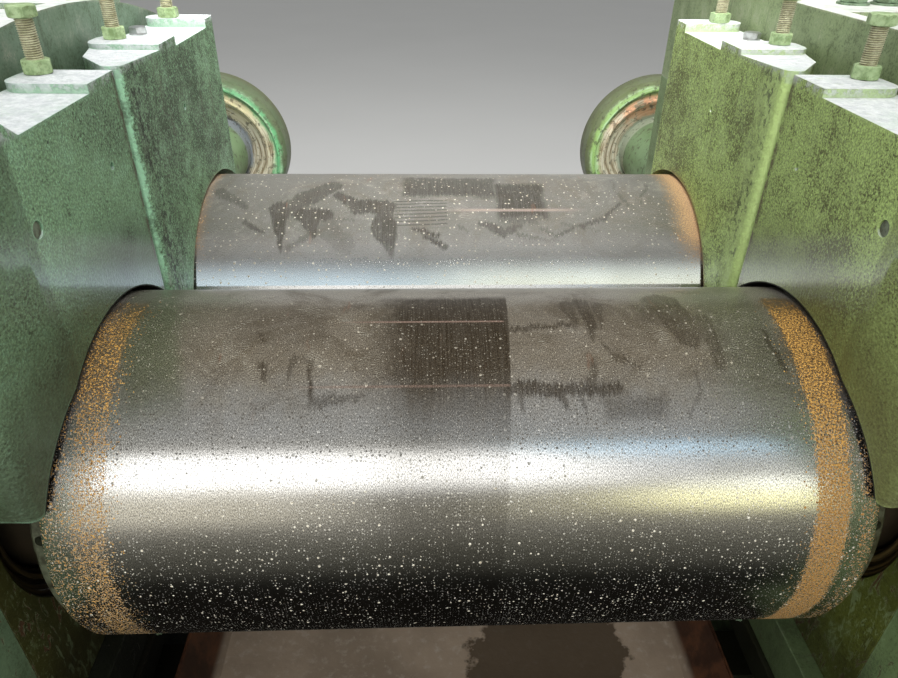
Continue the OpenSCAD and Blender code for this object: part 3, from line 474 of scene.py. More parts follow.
def roll_steel(name, axis_y, front):
    """Ground roll steel: fine grain, wiped film, smudges, stuck grit, rust near the ends."""
    f = Finish(name)
    dy, dz = axis_y - f.y, f.z - AXIS_Z
    turn = f.maths("ARCTAN2", dz, dy)
    around = turn * ROLL_R
    radius = (dy * dy + dz * dz) ** 0.5
    flat = f.vector(f.x, around, 0.0)
    grind = f.noise(1.0, 3.0, 0.6, at=f.scaled(flat, (60.0, 900.0, 1.0)))
    grain = f.noise(620.0, 3.0, 0.7, at=flat)
    broad = f.noise(5.0, 5.0, 0.6, at=flat)
    cloud = f.noise(24.0, 6.0, 0.68, at=flat, warp=0.6)
    # painted shade: the rear roll's bare steel is painted about a quarter darker than the front's, which dims
    # its reflections
    steel_dimming = 1.0 if front else 0.74
    steel = f.mix(broad.ramp(0.3, 0.7), *(tuple(v * steel_dimming for v in tone) for tone in
                                          ((0.55, 0.54, 0.51), (0.66, 0.65, 0.63))))
    rough = 0.17 + 0.08 * cloud
    # thin brown film on the upper half, with lines where it was wiped
    film_from, film_to = (0.70, 1.22) if front else (0.62, 1.0)
    top = (turn + (cloud - 0.5) * (0.3 if front else 0.06)).ramp(film_from, film_to)
    swirl = f.noise(8.0, 6.0, 0.66, at=flat, warp=2.2)
    slope = f.vector(f.x, around - f.x * 0.32, 0.0)
    lines = f.node("ShaderNodeTexWave", {"Vector": slope, "Scale": 120.0, "Distortion": 18.0,
                   "Detail": 2.0, "Detail Scale": 0.3, "Detail Roughness": 0.5}, bands_direction="Y")
    wiped = lines.ramp(0.62, 0.98) * swirl.ramp(0.48, 0.62) * cloud.ramp(0.44, 0.60)
    tint = (0.205, 0.158, 0.098) if front else (0.145, 0.138, 0.115)
    steel = f.mix(top * (0.84 + 0.3 * (swirl - 0.5)), steel, tint)
    crest = around.ramp(0.352, 0.400)
    steel = f.mix(crest * 0.55, steel, (0.60, 0.57, 0.52) if front else (0.18, 0.172, 0.150))
    mottle = f.noise(9.0, 7.0, 0.78, at=flat, warp=1.0)
    steel = f.mix(mottle.ramp(0.46, 0.64) * top * (0.62 if front else 0.35), steel, (0.150, 0.118, 0.078))
    steel = f.mix(mottle.ramp(0.44, 0.30) * top * 0.40, steel, (0.52, 0.50, 0.43))
    steel = f.mix(wiped * top * (0.70 if front else 0.45), steel, (0.66, 0.62, 0.52))
    rough = rough + top * (0.14 if front else 0.26)
    marks = stains(f, flat, *((FRONT_STROKES, FRONT_CLOUDS) if front else (REAR_STROKES, REAR_CLOUDS)))
    marks = marks * (0.70 + 0.9 * (grain - 0.3)) * turn.ramp(0.66, 0.90)
    if front:
        left = (f.x + (cloud - 0.5) * 0.08).ramp(-0.125, -0.055)
        end = (around + (cloud - 0.5) * 0.03).ramp(0.400, 0.382) * around.ramp(0.165, 0.275, 0.25)
        lean = f.x - (around - 0.276) * 0.055
        oblong = left * lean.ramp(0.0515, 0.0497) * end
        streak = f.noise(1.0, 4.0, 0.75, at=f.scaled(flat, (420.0, 14.0, 1.0))).ramp(0.3, 0.7)
        marks = f.maths("MAXIMUM", marks, oblong * (0.70 + 0.28 * streak))
        olive = (abs(f.x + 0.355 + (around - 0.29) * 0.25) + (cloud - 0.5) * 0.03).ramp(0.042, 0.022)
        steel = f.mix(olive * top * 0.6, steel, (0.170, 0.185, 0.110))
        slate = f.x.ramp(0.265, 0.315) * f.x.ramp(0.372, 0.360)
        steel = f.mix(slate * top * 0.35, steel, (0.215, 0.230, 0.195))
        pale_lines = None
        for height, ends, tone in ((0.330, (-0.16, 0.05), 0.9), (0.236, (-0.21, 0.05), 0.5)):
            line = abs(around - height).ramp(0.0022, 0.0008) * f.x.ramp(ends[0], ends[0] + 0.08)
            line = line * f.x.ramp(ends[1], ends[1] - 0.004) * tone
            pale_lines = line if pale_lines is None else f.maths("MAXIMUM", pale_lines, line)
    else:
        comb = f.maths("SINE", (around - f.x * 0.04 + (cloud - 0.5) * 0.004) * (2 * math.pi / 0.0077))
        comb = comb.ramp(0.1, 0.9) * f.x.ramp(-0.100, -0.090) * f.x.ramp(-0.004, -0.008)
        comb = comb * around.ramp(0.222, 0.230) * around.ramp(0.292, 0.286)
        marks = f.maths("MAXIMUM", marks, comb * 0.55)
        wave = abs(around - 0.262).ramp(0.005, 0.001)
        pale_lines = wave * f.x.ramp(-0.02, 0.05) * f.x.ramp(0.24, 0.16) * 0.7
    steel = f.mix(marks.clip(), steel, (0.050, 0.034, 0.018) if front else (0.046, 0.041, 0.030))
    steel = f.mix(pale_lines, steel, (0.40, 0.27, 0.21) if front else (0.42, 0.33, 0.28))
    fibre = f.noise(1.0, 2.0, 0.75, at=f.scaled(flat, (1100.0, 480.0, 1.0)))
    steel = f.shade(steel, fibre.ramp(0.32, 0.68, 0.42, 1.55) if front else fibre.ramp(0.32, 0.68, 0.75, 1.2))
    # red-brown drips
    drip = f.noise(1.0, 4.0, 0.6, at=f.scaled(flat, (60.0, 12.0, 1.0))).ramp(0.66, 0.74) * top
    steel = f.mix(drip * 0.35, steel, (0.30, 0.14, 0.08))
    # rust: a dense band near each end, thinner specks outside and inside it
    wander = f.noise(6.0, 4.0, 0.6, at=flat) - 0.5
    side = abs(f.x + wander * 0.014)
    right = f.x.ramp(-0.01, 0.01)
    inner = f.level(right, 0.381, 0.377)
    core = (side - inner).ramp(-0.005, 0.004) * side.ramp(0.421, 0.411)
    fringe = (side - inner).ramp(-0.024, 0.0)
    rim = side.ramp(0.416, 0.424) * f.level(right, 1.0, side.ramp(0.422, 0.434))
    pitting = f.noise(520.0, 2.0, 0.6, at=flat)
    low = turn.ramp(0.85, 0.35)
    share = core * f.level(right, 0.46, 0.68) + (1.0 - core) * f.level(right, 0.20, 0.12) * fringe
    share = share + rim * f.level(right, 0.08, 0.20)
    share = share * turn.ramp(1.75, 1.45)
    if not front:
        core = side.ramp(f.level(right, 0.392, 0.362), f.level(right, 0.425, 0.412))
        share = core * f.level(right, 0.50, 0.85) * turn.ramp(0.62, 1.0)
    grains = f.dots(0.0021, 0.0011, share * 1.5, at=flat)
    coarse = f.dots(0.0031, 0.0016, share * share * 1.6, at=f.shifted(flat, (0.5, 0.2, 0.0)))
    rust = f.maths("MAXIMUM", grains, coarse)
    pits = (pitting - (0.76 - 0.42 * share)).ramp(-0.02, 0.03) * share.ramp(0.0, 0.06)
    rust = f.maths("MAXIMUM", rust, pits)
    if not front:
        rust = f.maths("MAXIMUM", rust, share * 0.5).clip()
    patchy = f.noise(430.0, 2.0, 0.7, at=f.shifted(flat, (3.0, 1.0, 0.0)))
    rust_colour = f.mix(patchy.ramp(0.36, 0.64), (0.075, 0.033, 0.009), (0.62, 0.34, 0.075))
    rust_colour = f.mix(low * right * 0.55, rust_colour, (0.30, 0.145, 0.028))
    if not front:
        rust_colour = f.mix(0.6, rust_colour, (0.47, 0.32, 0.20))
    chalk = f.noise(480.0, 1.0, 0.6, at=f.shifted(flat, (1.0, 2.0, 0.0))).ramp(0.54, 0.62)
    rust_colour = f.mix(chalk * low * f.level(right, 0.50, 0.10), rust_colour, (0.66, 0.50, 0.27))
    # stuck grit: many fine pale specks low on the roll, a few larger ones everywhere
    patches = f.noise(17.0, 4.0, 0.65, at=flat).ramp(0.40, 0.60)
    fine = f.dots(0.0048, 0.0010, 0.38, at=flat) * patches
    large = f.dots(0.0125, 0.0016, 0.35, at=f.shifted(flat, (0.4, 0.7, 0.0)))
    dust = f.dots(0.0031, 0.00075, 0.40, at=f.shifted(flat, (0.8, 0.2, 0.0)))
    lower = turn.ramp(0.80, 0.45)
    grit = f.maths("MAXIMUM", fine * f.level(lower, 0.20, 1.0), large * f.level(lower, 0.45, 1.0))
    grit = f.maths("MAXIMUM", grit, dust * f.level(lower, 0.40, 0.22))
    if not front:
        blots = f.dots(0.0105, 0.0017, 0.55, at=f.shifted(flat, (0.3, 0.1, 0.0)))
        grit = f.maths("MAXIMUM", grit * 0.45, blots * 0.9)
    grit_colour = f.mix(patchy.ramp(0.35, 0.6), (0.34, 0.27, 0.17), (0.78, 0.74, 0.62))
    dull = turn.ramp(0.50, 0.66) * turn.ramp(1.08, 0.95) * (0.9 if front else 0.15)
    grit_colour = f.mix(dull, grit_colour, (0.05, 0.045, 0.035))
    body = (radius > ROLL_R - 0.008) * (abs(f.x) < FACE_X + 0.001)
    colour = f.mix(grit, steel, grit_colour)
    bloom = core * top * f.level(right, 0.45, 0.75) * share.ramp(0.0, 0.1) * broad.ramp(0.30, 0.55)
    colour = f.mix(bloom, colour, (0.24, 0.15, 0.065))
    colour = f.mix(rust, colour, rust_colour)
    pepper = f.dots(0.0052, 0.0014, 0.7, at=f.shifted(flat, (0.6, 0.9, 0.0)))
    pepper = pepper * turn.ramp(0.62, 0.74) * turn.ramp(1.15, 0.95) * (1.0 if front else 0.2)
    colour = f.mix(pepper * 0.9, colour, (0.030, 0.024, 0.016))
    metal = (1.0 - grit) * (1.0 - pepper) * (1.0 - rust * 0.92) * (1.0 - top * (0.20 if front else 0.50))
    rough = f.level(f.maths("MAXIMUM", grit, rust), rough, 0.82)
    # painted, greasy collars and oiled necks outside the ground body
    paint = f.mix(f.noise(30.0, 5.0, 0.66).ramp(0.42, 0.62), (0.105, 0.115, 0.070), (0.024, 0.020, 0.010))
    grubby = f.level(f.noise(90.0, 4.0, 0.7).ramp(0.42, 0.55), 0.6, 1.0) * right
    paint = f.mix(grubby, paint, (0.030, 0.026, 0.010))
    neck = f.mix(f.noise(14.0, 4.0, 0.6), (0.040, 0.028, 0.014), (0.012, 0.009, 0.005))
    outer = f.mix(abs(f.x) > COLLAR_X + 0.001, paint, neck)
    shaft = f.x > 0.90
    outer = f.mix(shaft, outer, (0.46, 0.44, 0.41))
    colour = f.mix(body, outer, colour)
    metal = f.level(body, shaft * 0.9, metal)
    rough = f.level(body, 0.46, rough)
    height = grind * 0.3 + grain * 0.3 + fibre * 0.6 + grit * 3.0
    normal = f.bump(height, 0.00006)
    return f.surface(colour, rough, metal, normal)


def plain_metal(name, bright, dark, rough, metal=1.0, rust=0.3, scale=60.0):
    """Bare or lightly painted fastener metal with grime and rust specks."""
    f = Finish(name)
    colour = f.mix(f.noise(scale, 5.0, 0.65).ramp(0.36, 0.66), bright, dark)
    spots = f.noise(scale * 4.0, 4.0, 0.7).ramp(0.58, 0.66) * rust
    colour = f.mix(spots, colour, (0.16, 0.072, 0.026))
    rub = f.edge(0.0015) * 0.5
    colour = f.mix(rub, colour, bright)
    level = f.level(f.noise(scale * 1.7), rough - 0.08, rough + 0.14)
    return f.surface(colour, f.level(spots, level, 0.8), f.level(spots, metal, metal * 0.3),
                     normal=f.bump(f.noise(scale * 9.0, 3.0, 0.6), 0.00025))


def seal_iron():
    """Oily sealing rings with brown and olive circles."""
    f = Finish("seal_iron")
    dy, dz = abs(f.y) - ROLL_Y, f.z - AXIS_Z
    radius = (dy * dy + dz * dz) ** 0.5
    rings = f.noise(1.0, 4.0, 0.6, at=f.vector(radius * 260.0, dy * 4.0, dz * 4.0))
    # painted highlight: brown circles where the oily rings catch the light, weaker on the left
    lit = rings.ramp(0.38, 0.66) * f.x.ramp(-0.05, 0.05, 0.45, 1.0)
    colour = f.mix(lit, (0.014, 0.010, 0.004), (0.20, 0.135, 0.045))
    colour = f.mix(f.noise(16.0, 4.0, 0.6).ramp(0.5, 0.7) * 0.6, colour, (0.010, 0.008, 0.005))
    return f.surface(colour, f.level(rings, 0.26, 0.45), 0.0, coat=0.3,
                     normal=f.bump(rings + f.noise(90.0) * 0.4, 0.0006))


def tray_sheet():
    """Rusty oily tray: grey-brown bottom, dark stain, red-brown sides."""
    f = Finish("tray_sheet")
    level = f.z.ramp(0.472, 0.49)
    broad = f.noise(4.0, 6.0, 0.62)
    base = f.mix(broad.ramp(0.35, 0.68), (0.360, 0.275, 0.200), (0.230, 0.175, 0.125))
    base = f.mix(f.noise(60.0, 5.0, 0.7).ramp(0.5, 0.72) * 0.5, base, (0.46, 0.40, 0.33))
    wall = f.mix(f.noise(18.0, 5.0, 0.7).ramp(0.4, 0.66), (0.035, 0.014, 0.007), (0.10, 0.038, 0.016))
    colour = f.mix(level, base, wall)
    spill_at = f.shifted(f.place, (-0.17, 0.25, 0.0))
    sx, sy, _ = f.parts(spill_at)
    ragged = f.noise(14.0, 5.0, 0.62) - 0.5
    spill = (sx * sx * 0.75 + sy * sy * 0.6) ** 0.5 + ragged * 0.13
    stain = spill.ramp(0.128, 0.118) * (1.0 - level)
    colour = f.mix(stain * 0.85, colour, (0.060, 0.042, 0.025))
    rough = f.level(stain, f.level(f.noise(30.0, 4.0, 0.6), 0.42, 0.62), 0.24)
    return f.surface(colour, rough, 0.0, normal=f.bump(f.noise(85.0, 5.0, 0.68), 0.0008))


# ---------------------------------------------------------------- geometry
class Shape:
    """Collects faces for one piece; marks pick the finish of each face."""

    def __init__(self):
        self.verts, self.faces, self.marks = [], [], []

    def rings(self, rings, place, mark=0, close=(True, True)):
        start, n = len(self.verts), len(rings[0])
        for ring in rings:
            self.verts += [place @ Vector(p) for p in ring]
        for k in range(len(rings) - 1):
            for j in range(n):
                a, b = start + k * n + j, start + k * n + (j + 1) % n
                self.faces.append((a, b, b + n, a + n))
                self.marks.append(mark)
        last = start + (len(rings) - 1) * n
        if close[0]:
            self.faces.append(tuple(range(start + n - 1, start - 1, -1)))
            self.marks.append(mark)
        if close[1]:
            self.faces.append(tuple(range(last, last + n)))
            self.marks.append(mark)

    def lathe(self, profile, place, mark=0, steps=32, close=(True, True)):
        turn = [2 * math.pi * j / steps for j in range(steps)]
        self.rings([[(r * math.cos(t), r * math.sin(t), z) for t in turn] for r, z in profile],
                   place, mark, close)

    def hexagon(self, across, height, place, mark=0, both=False, bore=0.0):
        """Chamfered hexagon head or nut that stands on the place's z = 0."""
        steps = 36
        half = across / 2
        rim = half * 0.94
        turn = [2 * math.pi * j / steps for j in range(steps)]
        reach = [half / math.cos((t + math.pi / 6) % (math.pi / 3) - math.pi / 6) for t in turn]
        cut = [0.55 * max(0.0, r - rim) for r in reach]

        def ring(radii, heights):
            return [(r * math.cos(t), r * math.sin(t), z) for r, t, z in zip(radii, turn, heights)]
        low = ring(reach, cut if both else [0.0] * steps)
        high = ring(reach, [height - c for c in cut])
        rows = [low, high, ring([rim] * steps, [height] * steps)]
        if both:
            rows.insert(0, ring([rim] * steps, [0.0] * steps))
        if bore:
            rows.append(ring([bore] * steps, [height] * steps))
            rows.append(ring([bore * 0.9] * steps, [height - bore * 0.12] * steps))
        self.rings(rows, place, mark)

    def thread(self, size, pitch, length, place, marks=(0, 1), steps=24):
        """Helical thread from z = 0 to the length."""
        crest, root = size / 2, size / 2 - 0.6 * pitch
        profile = [(0.0, root), (0.16, root), (0.50, crest), (0.68, crest)]
        rows = int(length / pitch) * 4
        start = len(self.verts)
        for i in range(rows):
            part, r = profile[i % 4]
            for j in range(steps):
                t = 2 * math.pi * j / steps
                z = (i // 4 + part + j / steps) * pitch
                self.verts.append(place @ Vector((r * math.cos(t), r * math.sin(t), z)))
        for i in range(rows - 1):
            for j in range(steps):
                a, b = start + i * steps + j, start + i * steps + j + 1
                if j == steps - 1:
                    b += 3 * steps
                    if i + 5 >= rows:
                        continue
                self.faces.append((a, b, b + steps, a + steps))
                self.marks.append(marks[1] if i % 4 == 0 else marks[0])
        return self

    def build(self, name, finishes, body):
        mesh = bpy.data.meshes.new(name)
        mesh.from_pydata([tuple(v) for v in self.verts], [], self.faces)
        for finish in finishes:
            mesh.materials.append(finish)
        for polygon, mark in zip(mesh.polygons, self.marks):
            polygon.material_index = mark
        clean = bmesh.new()
        clean.from_mesh(mesh)
        bmesh.ops.recalc_face_normals(clean, faces=clean.faces)
        clean.to_mesh(mesh)
        clean.free()
        mesh.shade_smooth()
        mesh.set_sharp_from_angle(angle=math.radians(30))
        piece = bpy.data.objects.new(name, mesh)
        bpy.context.scene.collection.objects.link(piece)
        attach(piece, body)
        return piece


def stand_at(x, y, z, axis=(0, 0, 1), spin=0.0):
    """Places a fastener: its foot at the point, its length along the axis."""
    turn = Vector((0, 0, 1)).rotation_difference(Vector(axis)).to_matrix().to_4x4()
    return Matrix.Translation((x, y, z)) @ turn @ Matrix.Rotation(math.radians(spin), 4, "Z")


def dress(node, finish, rounding):
    """Gives a CAD node its finish and rounds its edges."""
    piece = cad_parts[node]
    piece.data.materials.clear()
    piece.data.materials.append(finish)
    weld = piece.modifiers.new("Weld", "WELD")
    weld.merge_threshold = 1e-5
    flat = piece.modifiers.new("Flat", "DECIMATE")
    flat.decimate_type, flat.angle_limit = "DISSOLVE", math.radians(0.5)
    edge = piece.modifiers.new("Bevel", "BEVEL")
    edge.width, edge.segments, edge.limit_method = rounding, 3, "ANGLE"
    edge.angle_limit, edge.miter_outer = math.radians(32), "MITER_ARC"
    shade = piece.modifiers.new("Shade", "WEIGHTED_NORMAL")
    shade.keep_sharp, shade.weight = False, 60


# ---------------------------------------------------------------- the mill
GREEN = (0.175, 0.255, 0.105)
GREEN_DARK = (0.060, 0.085, 0.034)
GREEN_PALE = (0.33, 0.45, 0.24)
machine_green = cast_paint("machine_green", GREEN, GREEN_DARK, GREEN_PALE, dust=0.35, chips=0.7,
                           left_body=(0.140, 0.215, 0.120), shade_strength=(0.97, 0.55))
cap_green = cast_paint("cap_green", (0.260, 0.330, 0.165), GREEN_DARK, (0.52, 0.48, 0.38), dust=0.8,
                       chips=0.0, streaks=1.0, left_body=(0.185, 0.270, 0.185))
low_green = cast_paint("low_green", (0.118, 0.140, 0.022), (0.034, 0.036, 0.007), GREEN_PALE, chips=1.0,
                       oil=0.6, wear=0.0, left_body=(0.058, 0.056, 0.010), outer=(0.150, 0.215, 0.110))
oily_green = cast_paint("oily_green", (0.090, 0.115, 0.050), (0.028, 0.030, 0.014), GREEN, dust=0.2,
                        oil=0.8, wear=0.0, shade_strength=(0.97, 0.9))
drum_green = drum_paint()
guide_green = guide_paint()
front_steel = roll_steel("front_roll_steel", -ROLL_Y, True)
rear_steel = roll_steel("rear_roll_steel", ROLL_Y, False)
turned_steel = plain_metal("turned_steel", (0.52, 0.50, 0.46), (0.20, 0.17, 0.13), 0.38)
nut_green = plain_metal("nut_green", (0.20, 0.29, 0.18), (0.09, 0.13, 0.07), 0.5, 0.0, 0.35, 90.0)
lock_green = plain_metal("lock_green", (0.36, 0.47, 0.25), (0.17, 0.25, 0.10), 0.5, 0.0, 0.35, 90.0)
thread_cream = plain_metal("thread_cream", (0.62, 0.60, 0.42), (0.36, 0.34, 0.20), 0.5, 0.25, 0.25, 110.0)
thread_root = plain_metal("thread_root", (0.055, 0.045, 0.022), (0.02, 0.016, 0.010), 0.6, 0.0)
bright_zinc = plain_metal("bright_zinc", (0.70, 0.71, 0.72), (0.46, 0.46, 0.45), 0.36, 0.9, 0.15)
plug_brass = plain_metal("plug_brass", (0.20, 0.23, 0.16), (0.05, 0.055, 0.035), 0.5, 0.2)
seal_rings = seal_iron()
tray_rust = tray_sheet()

FINISHES = {
    machine_green: ["left_frame", "right_frame", "front_left_cover", "rear_left_cover",
                    "gear_guard_lower", "gear_guard_upper"],
    cap_green: ["left_cap", "right_cap"],
    low_green: ["front_left_housing", "front_right_housing", "rear_left_housing",
                "rear_right_housing"],
    oily_green: ["bedplate", "front_tie_beam", "rear_tie_beam", "tray_rails",
                 "left_guide_brackets", "right_guide_brackets"],
    drum_green: ["left_adjuster", "right_adjuster"],
    guide_green: ["front_left_guide", "front_right_guide", "rear_left_guide", "rear_right_guide"],
    front_steel: ["front_roll"],
    rear_steel: ["rear_roll"],
    turned_steel: ["nip_screws"],
    seal_rings: ["front_neck_seals", "rear_neck_seals"],
    tray_rust: ["drip_tray"],
}
ROUNDING = {"front_roll": 0.0015, "rear_roll": 0.0015, "front_neck_seals": 0.001,
            "rear_neck_seals": 0.001, "drip_tray": 0.001, "nip_screws": 0.002,
            "left_guide_brackets": 0.001, "right_guide_brackets": 0.001, "tray_rails": 0.002}
for finish, nodes in FINISHES.items():
    for node in nodes:
        dress(node, finish, ROUNDING.get(node, 0.004 if "guide" in node else 0.003))


def jack_screws(node, side, places, top):
    """Threaded hexagon screws with lock nuts on the guide pads."""
    shape = Shape()
    nut_h, stand, head_h = 0.016, 0.044, 0.013
    for i, (x, y) in enumerate(places):
        spin = 23 + 37 * i + (11 if side > 0 else 0)
        base = stand_at(side * x, y, top - 0.040)
        shape.thread(0.020, 0.0025, 0.040 + nut_h + stand + 0.006, base)
        shape.hexagon(0.030, nut_h, stand_at(side * x, y, top, spin=spin), 2, True, 0.0104)
        shape.hexagon(0.030, head_h, stand_at(side * x, y, top + nut_h + stand, spin=spin + 9), 2, True)
    piece = shape.build(node + "_set", [thread_cream, thread_root, lock_green], "stand")
    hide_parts(node)


jack_screws("front_left_jack_screw", -1, FRONT_JACKS, FRONT_PAD_Z)
jack_screws("front_right_jack_screw", 1, FRONT_JACKS, FRONT_PAD_Z)
jack_screws("rear_left_jack_screws", -1, REAR_JACKS, REAR_PAD_Z)
jack_screws("rear_right_jack_screws", 1, REAR_JACKS, REAR_PAD_Z)


def guide_bolts():
    """Low bright screws on the rear guides, and round plugs in the front guides."""
    for side, word in ((-1, "left"), (1, "right")):
        head = Shape()
        place = (side * 0.498, 0.257)
        head.lathe([(0.0135, 0.0), (0.0135, 0.002)], stand_at(*place, REAR_LEDGE_Z - 0.0002))
        head.hexagon(0.024, 0.010, stand_at(*place, REAR_LEDGE_Z + 0.0018, spin=12), 0, True)
        head.build(f"rear_{word}_guide_bolt", [bright_zinc], "stand")
        plug = Shape()
        face = stand_at(side * 0.4195, -0.319, AXIS_Z + 0.371, (-side, 0, 0))
        plug.lathe([(0.0085, -0.006), (0.0085, 0.0), (0.0078, 0.0008)], face, 0, 28)
        plug.build(f"front_{word}_guide_plug", [plug_brass], "stand")


guide_bolts()


def stud_nut(shape, x, y, z, size, axis=(0, 0, 1), spin=0.0, stick=0.35):
    """Stud end with a washer and a nut, sized by its thread."""
    across, washer = 1.55 * size, 1.0 * size
    base = stand_at(x, y, z, axis, spin)
    shape.lathe([(washer, -0.0003), (washer, 0.11 * size), (washer * 0.96, 0.13 * size)], base, 0, 36)
    lift = base @ Matrix.Translation((0, 0, 0.13 * size))
    shape.hexagon(across, 0.8 * size, lift, 0, True, size / 2)
    end = lift @ Matrix.Translation((0, 0, 0.6 * size))
    shape.lathe([(size * 0.46, 0.0), (size * 0.46, (0.2 + stick) * size - 0.002),
                 (size * 0.40, (0.2 + stick) * size)], end, 0, 24)


def bolt_head(shape, x, y, z, size, axis=(0, 0, 1), spin=0.0):
    base = stand_at(x, y, z, axis, spin)
    shape.lathe([(size, -0.0003), (size, 0.11 * size), (size * 0.96, 0.13 * size)], base, 0, 32)
    shape.hexagon(1.5 * size, 0.65 * size, base @ Matrix.Translation((0, 0, 0.13 * size)))


def frame_fasteners():
    """Nuts on the caps, the feet and the pads, and bolts on covers, flanges and rails."""
    for side, word in ((-1, "left"), (1, "right")):
        caps = Shape()
        for x in (-0.07, 0.07):
            for y in (-FRONT_OUT + 0.11, REAR_OUT - 0.11):
                stud_nut(caps, side * (FRAME_MID + x), y, CAP_Z + (0.060 if side < 0 else 0.178), 0.042,
                         spin=17)
        for x in (-0.027, 0.027):
            for y in (-0.216, 0.216):
                stud_nut(caps, side * (0.6545 + x), y, AXIS_Z + 0.516, 0.024, spin=40 + 300 * x, stick=0.18)
        caps.build(f"{word}_cap_nuts", [nut_green], "stand")
        feet = Shape()
        for x in (-0.09, 0.09):
            for y in (-FRONT_OUT - 0.035, REAR_OUT + 0.035):
                stud_nut(feet, side * (FRAME_MID + x), y, BED_TOP + 0.036, 0.030, spin=25)
        feet.build(f"{word}_foot_nuts", [nut_green], "stand")
        ring = Shape()
        for k in range(8):
            t = math.radians(22.5 + 45 * k)
            bolt_head(ring, side * FRAME_MID + 0.120 * math.cos(t), REAR_OUT + 0.028,
                      AXIS_Z + 0.120 * math.sin(t), 0.014, (0, 1, 0), 10)
        ring.build(f"{word}_adjuster_bolts", [nut_green], "stand")
        rail = Shape()
        for k in range(5):
            bolt_head(rail, side * 0.490, -0.50 + 0.27 * k, 0.5697, 0.010, (-side, 0, 0), 20)
        rail.build(f"{word}_rail_bolts", [nut_green], "stand")
    for body, y, word in (("stand", -ROLL_Y, "front"), ("rear_carriage", ROLL_Y, "rear")):
        ring = Shape()
        for k in range(8):
            t = math.radians(22.5 + 45 * k)
            bolt_head(ring, -0.830, y + 0.160 * math.cos(t), AXIS_Z + 0.160 * math.sin(t),
                      0.016, (-1, 0, 0), 10)
        ring.build(f"{word}_cover_bolts", [nut_green], body)
    guard = Shape()
    for x in (0.84, 0.903, 0.966):
        for y in (-0.5345, 0.5345):
            bolt_head(guard, x, y, AXIS_Z + 0.014, 0.012, spin=15)
            stud_nut(guard, x, y, AXIS_Z - 0.014, 0.012, (0, 0, -1), 5)
    guard.build("gear_guard_bolts", [nut_green], "stand")


frame_fasteners()


# ---------------------------------------------------------------- studio
def floor():
    f = Finish("floor_pale")
    tone = f.mix(f.noise(0.9, 3.0, 0.5), (0.62, 0.615, 0.60), (0.66, 0.655, 0.64))
    half = 14.0
    mesh = bpy.data.meshes.new("floor")
    mesh.from_pydata([(-half, -half, 0), (half, -half, 0), (half, half, 0), (-half, half, 0)],
                     [], [(0, 1, 2, 3)])
    mesh.materials.append(f.surface(tone, 0.9, spec=0.2))
    ground = bpy.data.objects.new("floor", mesh)
    bpy.context.scene.collection.objects.link(ground)


def soft_box(name, place, target, size, power, colour=(1, 1, 1), spread=180.0):
    data = bpy.data.lights.new(name, "AREA")
    data.shape, data.size, data.size_y = "RECTANGLE", size[0], size[1]
    data.energy, data.color, data.spread = power, colour, math.radians(spread)
    lamp = bpy.data.objects.new(name, data)
    bpy.context.scene.collection.objects.link(lamp)
    lamp.location = place
    lamp.rotation_euler = (Vector(target) - Vector(place)).to_track_quat("-Z", "Y").to_euler()
    lamp.visible_glossy = False
    return lamp


def mirror_card(name, corners, base, panes=(), across="z"):
    """A card that only the shiny surfaces see, with soft brighter panes on it."""
    f = Finish(name)
    glow = f.mix(0.0, base, base)
    level = f.z if across == "z" else f.y
    for x, span, soft, colour in panes:
        mask = f.x.ramp(x[0] - soft[0], x[0] + soft[0]) * f.x.ramp(x[1] + soft[0], x[1] - soft[0])
        mask = mask * level.ramp(span[0] - soft[1], span[0] + soft[1])
        mask = mask * level.ramp(span[1] + soft[1], span[1] - soft[1])
        glow = f.mix(mask, glow, colour)
    light = f.node("ShaderNodeEmission", {"Color": glow, "Strength": 1.0})
    f.node("ShaderNodeOutputMaterial", {"Surface": light})
    mesh = bpy.data.meshes.new(name)
    mesh.from_pydata(corners, [], [(0, 1, 2, 3)])
    mesh.materials.append(f.material)
    card = bpy.data.objects.new(name, mesh)
    bpy.context.scene.collection.objects.link(card)
    card.visible_camera = card.visible_diffuse = card.visible_shadow = False
    card.visible_transmission = card.visible_volume_scatter = False


# Panes on the cards, in metres: span of x, span of height or depth, softness of both, radiance
WINDOWS = [
    ((0.5, 12.0), (1.0, 2.9), (0.5, 0.4), (0.50, 0.47, 0.36)),
    ((-12.0, -1.0), (0.8, 3.6), (0.9, 0.5), (0.85, 0.80, 0.66)),
    ((2.0, 12.0), (1.45, 2.7), (0.5, 0.25), (2.05, 1.98, 1.15)),
    ((2.8, 12.0), (2.6, 3.5), (0.6, 0.25), (2.50, 2.55, 2.40)),
    ((-12.0, 1.9), (3.15, 6.0), (0.7, 0.6), (2.50, 2.50, 2.48)),
    ((2.1, 12.0), (3.8, 5.3), (0.4, 0.25), (0.74, 0.76, 0.76)),
    ((1.3, 12.0), (5.5, 6.9), (0.5, 0.4), (0.90, 1.25, 1.55))]
YARD = [
    ((-14.0, 14.0), (-15.0, -1.75), (0.1, 0.45), (0.085, 0.083, 0.068)),
    ((-14.0, 14.0), (-15.0, -3.0), (0.1, 0.9), (0.15, 0.145, 0.12)),
    ((-14.0, 14.0), (-15.0, -5.6), (0.1, 0.8), (0.27, 0.26, 0.22)),
    ((-0.78, -0.36), (-0.97, -0.90), (0.06, 0.02), (0.40, 0.24, 0.17))]

SHEEN = [((-1.0, 1.0), (1.0, 1.088), (0.1, 0.024), (1.35, 1.65, 1.85)),
         ((0.0, 1.0), (1.0, 1.088), (0.12, 0.024), (1.90, 2.00, 1.75))]


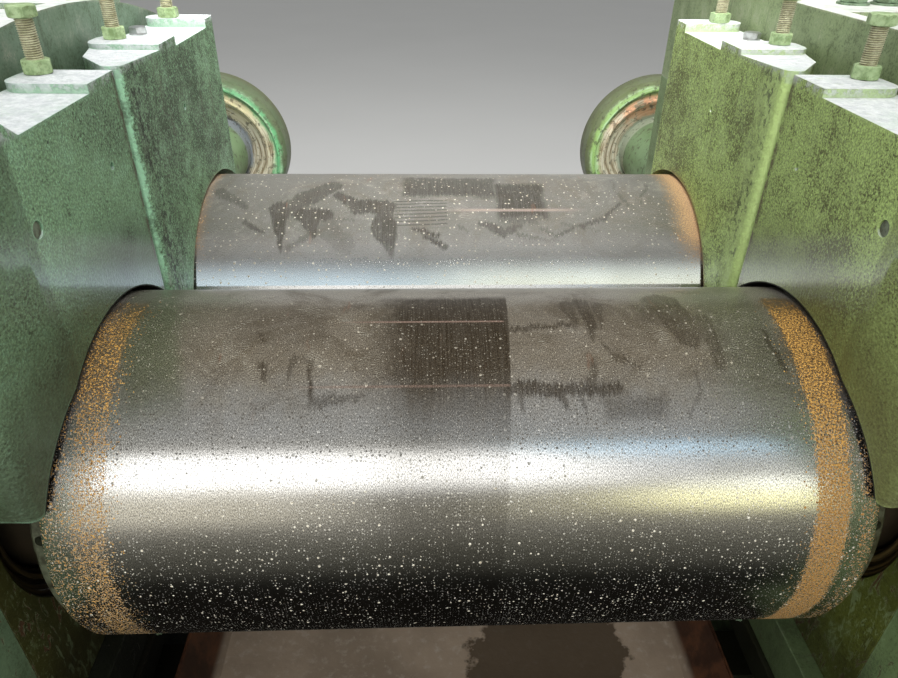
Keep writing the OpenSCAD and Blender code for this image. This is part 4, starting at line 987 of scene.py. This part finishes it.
def studio():
    world = bpy.data.worlds.new("studio")
    bpy.context.scene.world = world
    world.use_nodes = True
    back = world.node_tree.nodes["Background"]
    back.inputs[0].default_value = (0.98, 1.0, 1.0, 1.0)
    back.inputs[1].default_value = 0.42
    soft_box("window_light", (-0.8, -4.6, 3.4), (0, 0, 0.9), (5.0, 2.6), 190.0, (0.98, 1.0, 1.0))
    soft_box("roof_light", (0.4, 0.6, 5.2), (0, 0, 1.0), (5.0, 5.0), 230.0, (1.0, 1.0, 0.99))
    gap = soft_box("gap_light", (0, -0.4, 2.7), (0, 0.9, 0.95), (0.7, 0.4), 9.0, (1.0, 1.0, 1.0), 42.0)
    unlit = bpy.data.collections.new("unlit_by_gap_light")
    unlit.objects.link(bpy.data.objects["floor"])
    unlit.collection_objects[0].light_linking.link_state = "EXCLUDE"
    gap.light_linking.receiver_collection = unlit
    wall = [(-12, -6, 0), (12, -6, 0), (12, -6, 7.8), (-12, -6, 7.8)]
    mirror_card("hall_card", wall, (0.24, 0.23, 0.20), WINDOWS)
    yard = [(-14, -14, 0.02), (14, -14, 0.02), (14, -0.75, 0.02), (-14, -0.75, 0.02)]
    mirror_card("yard_card", yard, (0.006, 0.006, 0.005), YARD, "y")
    shade = [(-0.52, -0.76, 0.575), (0.52, -0.76, 0.575), (0.52, 0.3, 0.575), (-0.52, 0.3, 0.575)]
    mirror_card("shade_card", shade, (0.006, 0.005, 0.004))
    sheen = [(-0.41, 0.0322, 1.0724), (0.41, 0.0322, 1.0724), (0.41, 0.0934, 1.1375), (-0.41, 0.0934, 1.1375)]
    mirror_card("sheen_card", sheen, (0.42, 0.43, 0.43), SHEEN)
    bpy.context.scene.view_settings.view_transform = "Standard"


def camera():
    pitch, yaw, roll = (math.radians(a) for a in (32.601, 2.578, -0.935))
    ahead = Vector((math.sin(yaw) * math.cos(pitch), math.cos(yaw) * math.cos(pitch), -math.sin(pitch)))
    right = Vector((math.cos(yaw), -math.sin(yaw), 0.0))
    down = ahead.cross(right)
    tilted = math.cos(roll) * right + math.sin(roll) * down
    below = -math.sin(roll) * right + math.cos(roll) * down
    data = bpy.data.cameras.new("camera")
    data.lens, data.sensor_width = 27.453, 36.0
    eye = bpy.data.objects.new("camera", data)
    bpy.context.scene.collection.objects.link(eye)
    turn = Matrix((tilted, -below, -ahead)).transposed().to_4x4()
    eye.matrix_world = Matrix.Translation((-0.0477, -0.9443, 1.5932)) @ turn
    bpy.context.scene.camera = eye


floor()
studio()
camera()
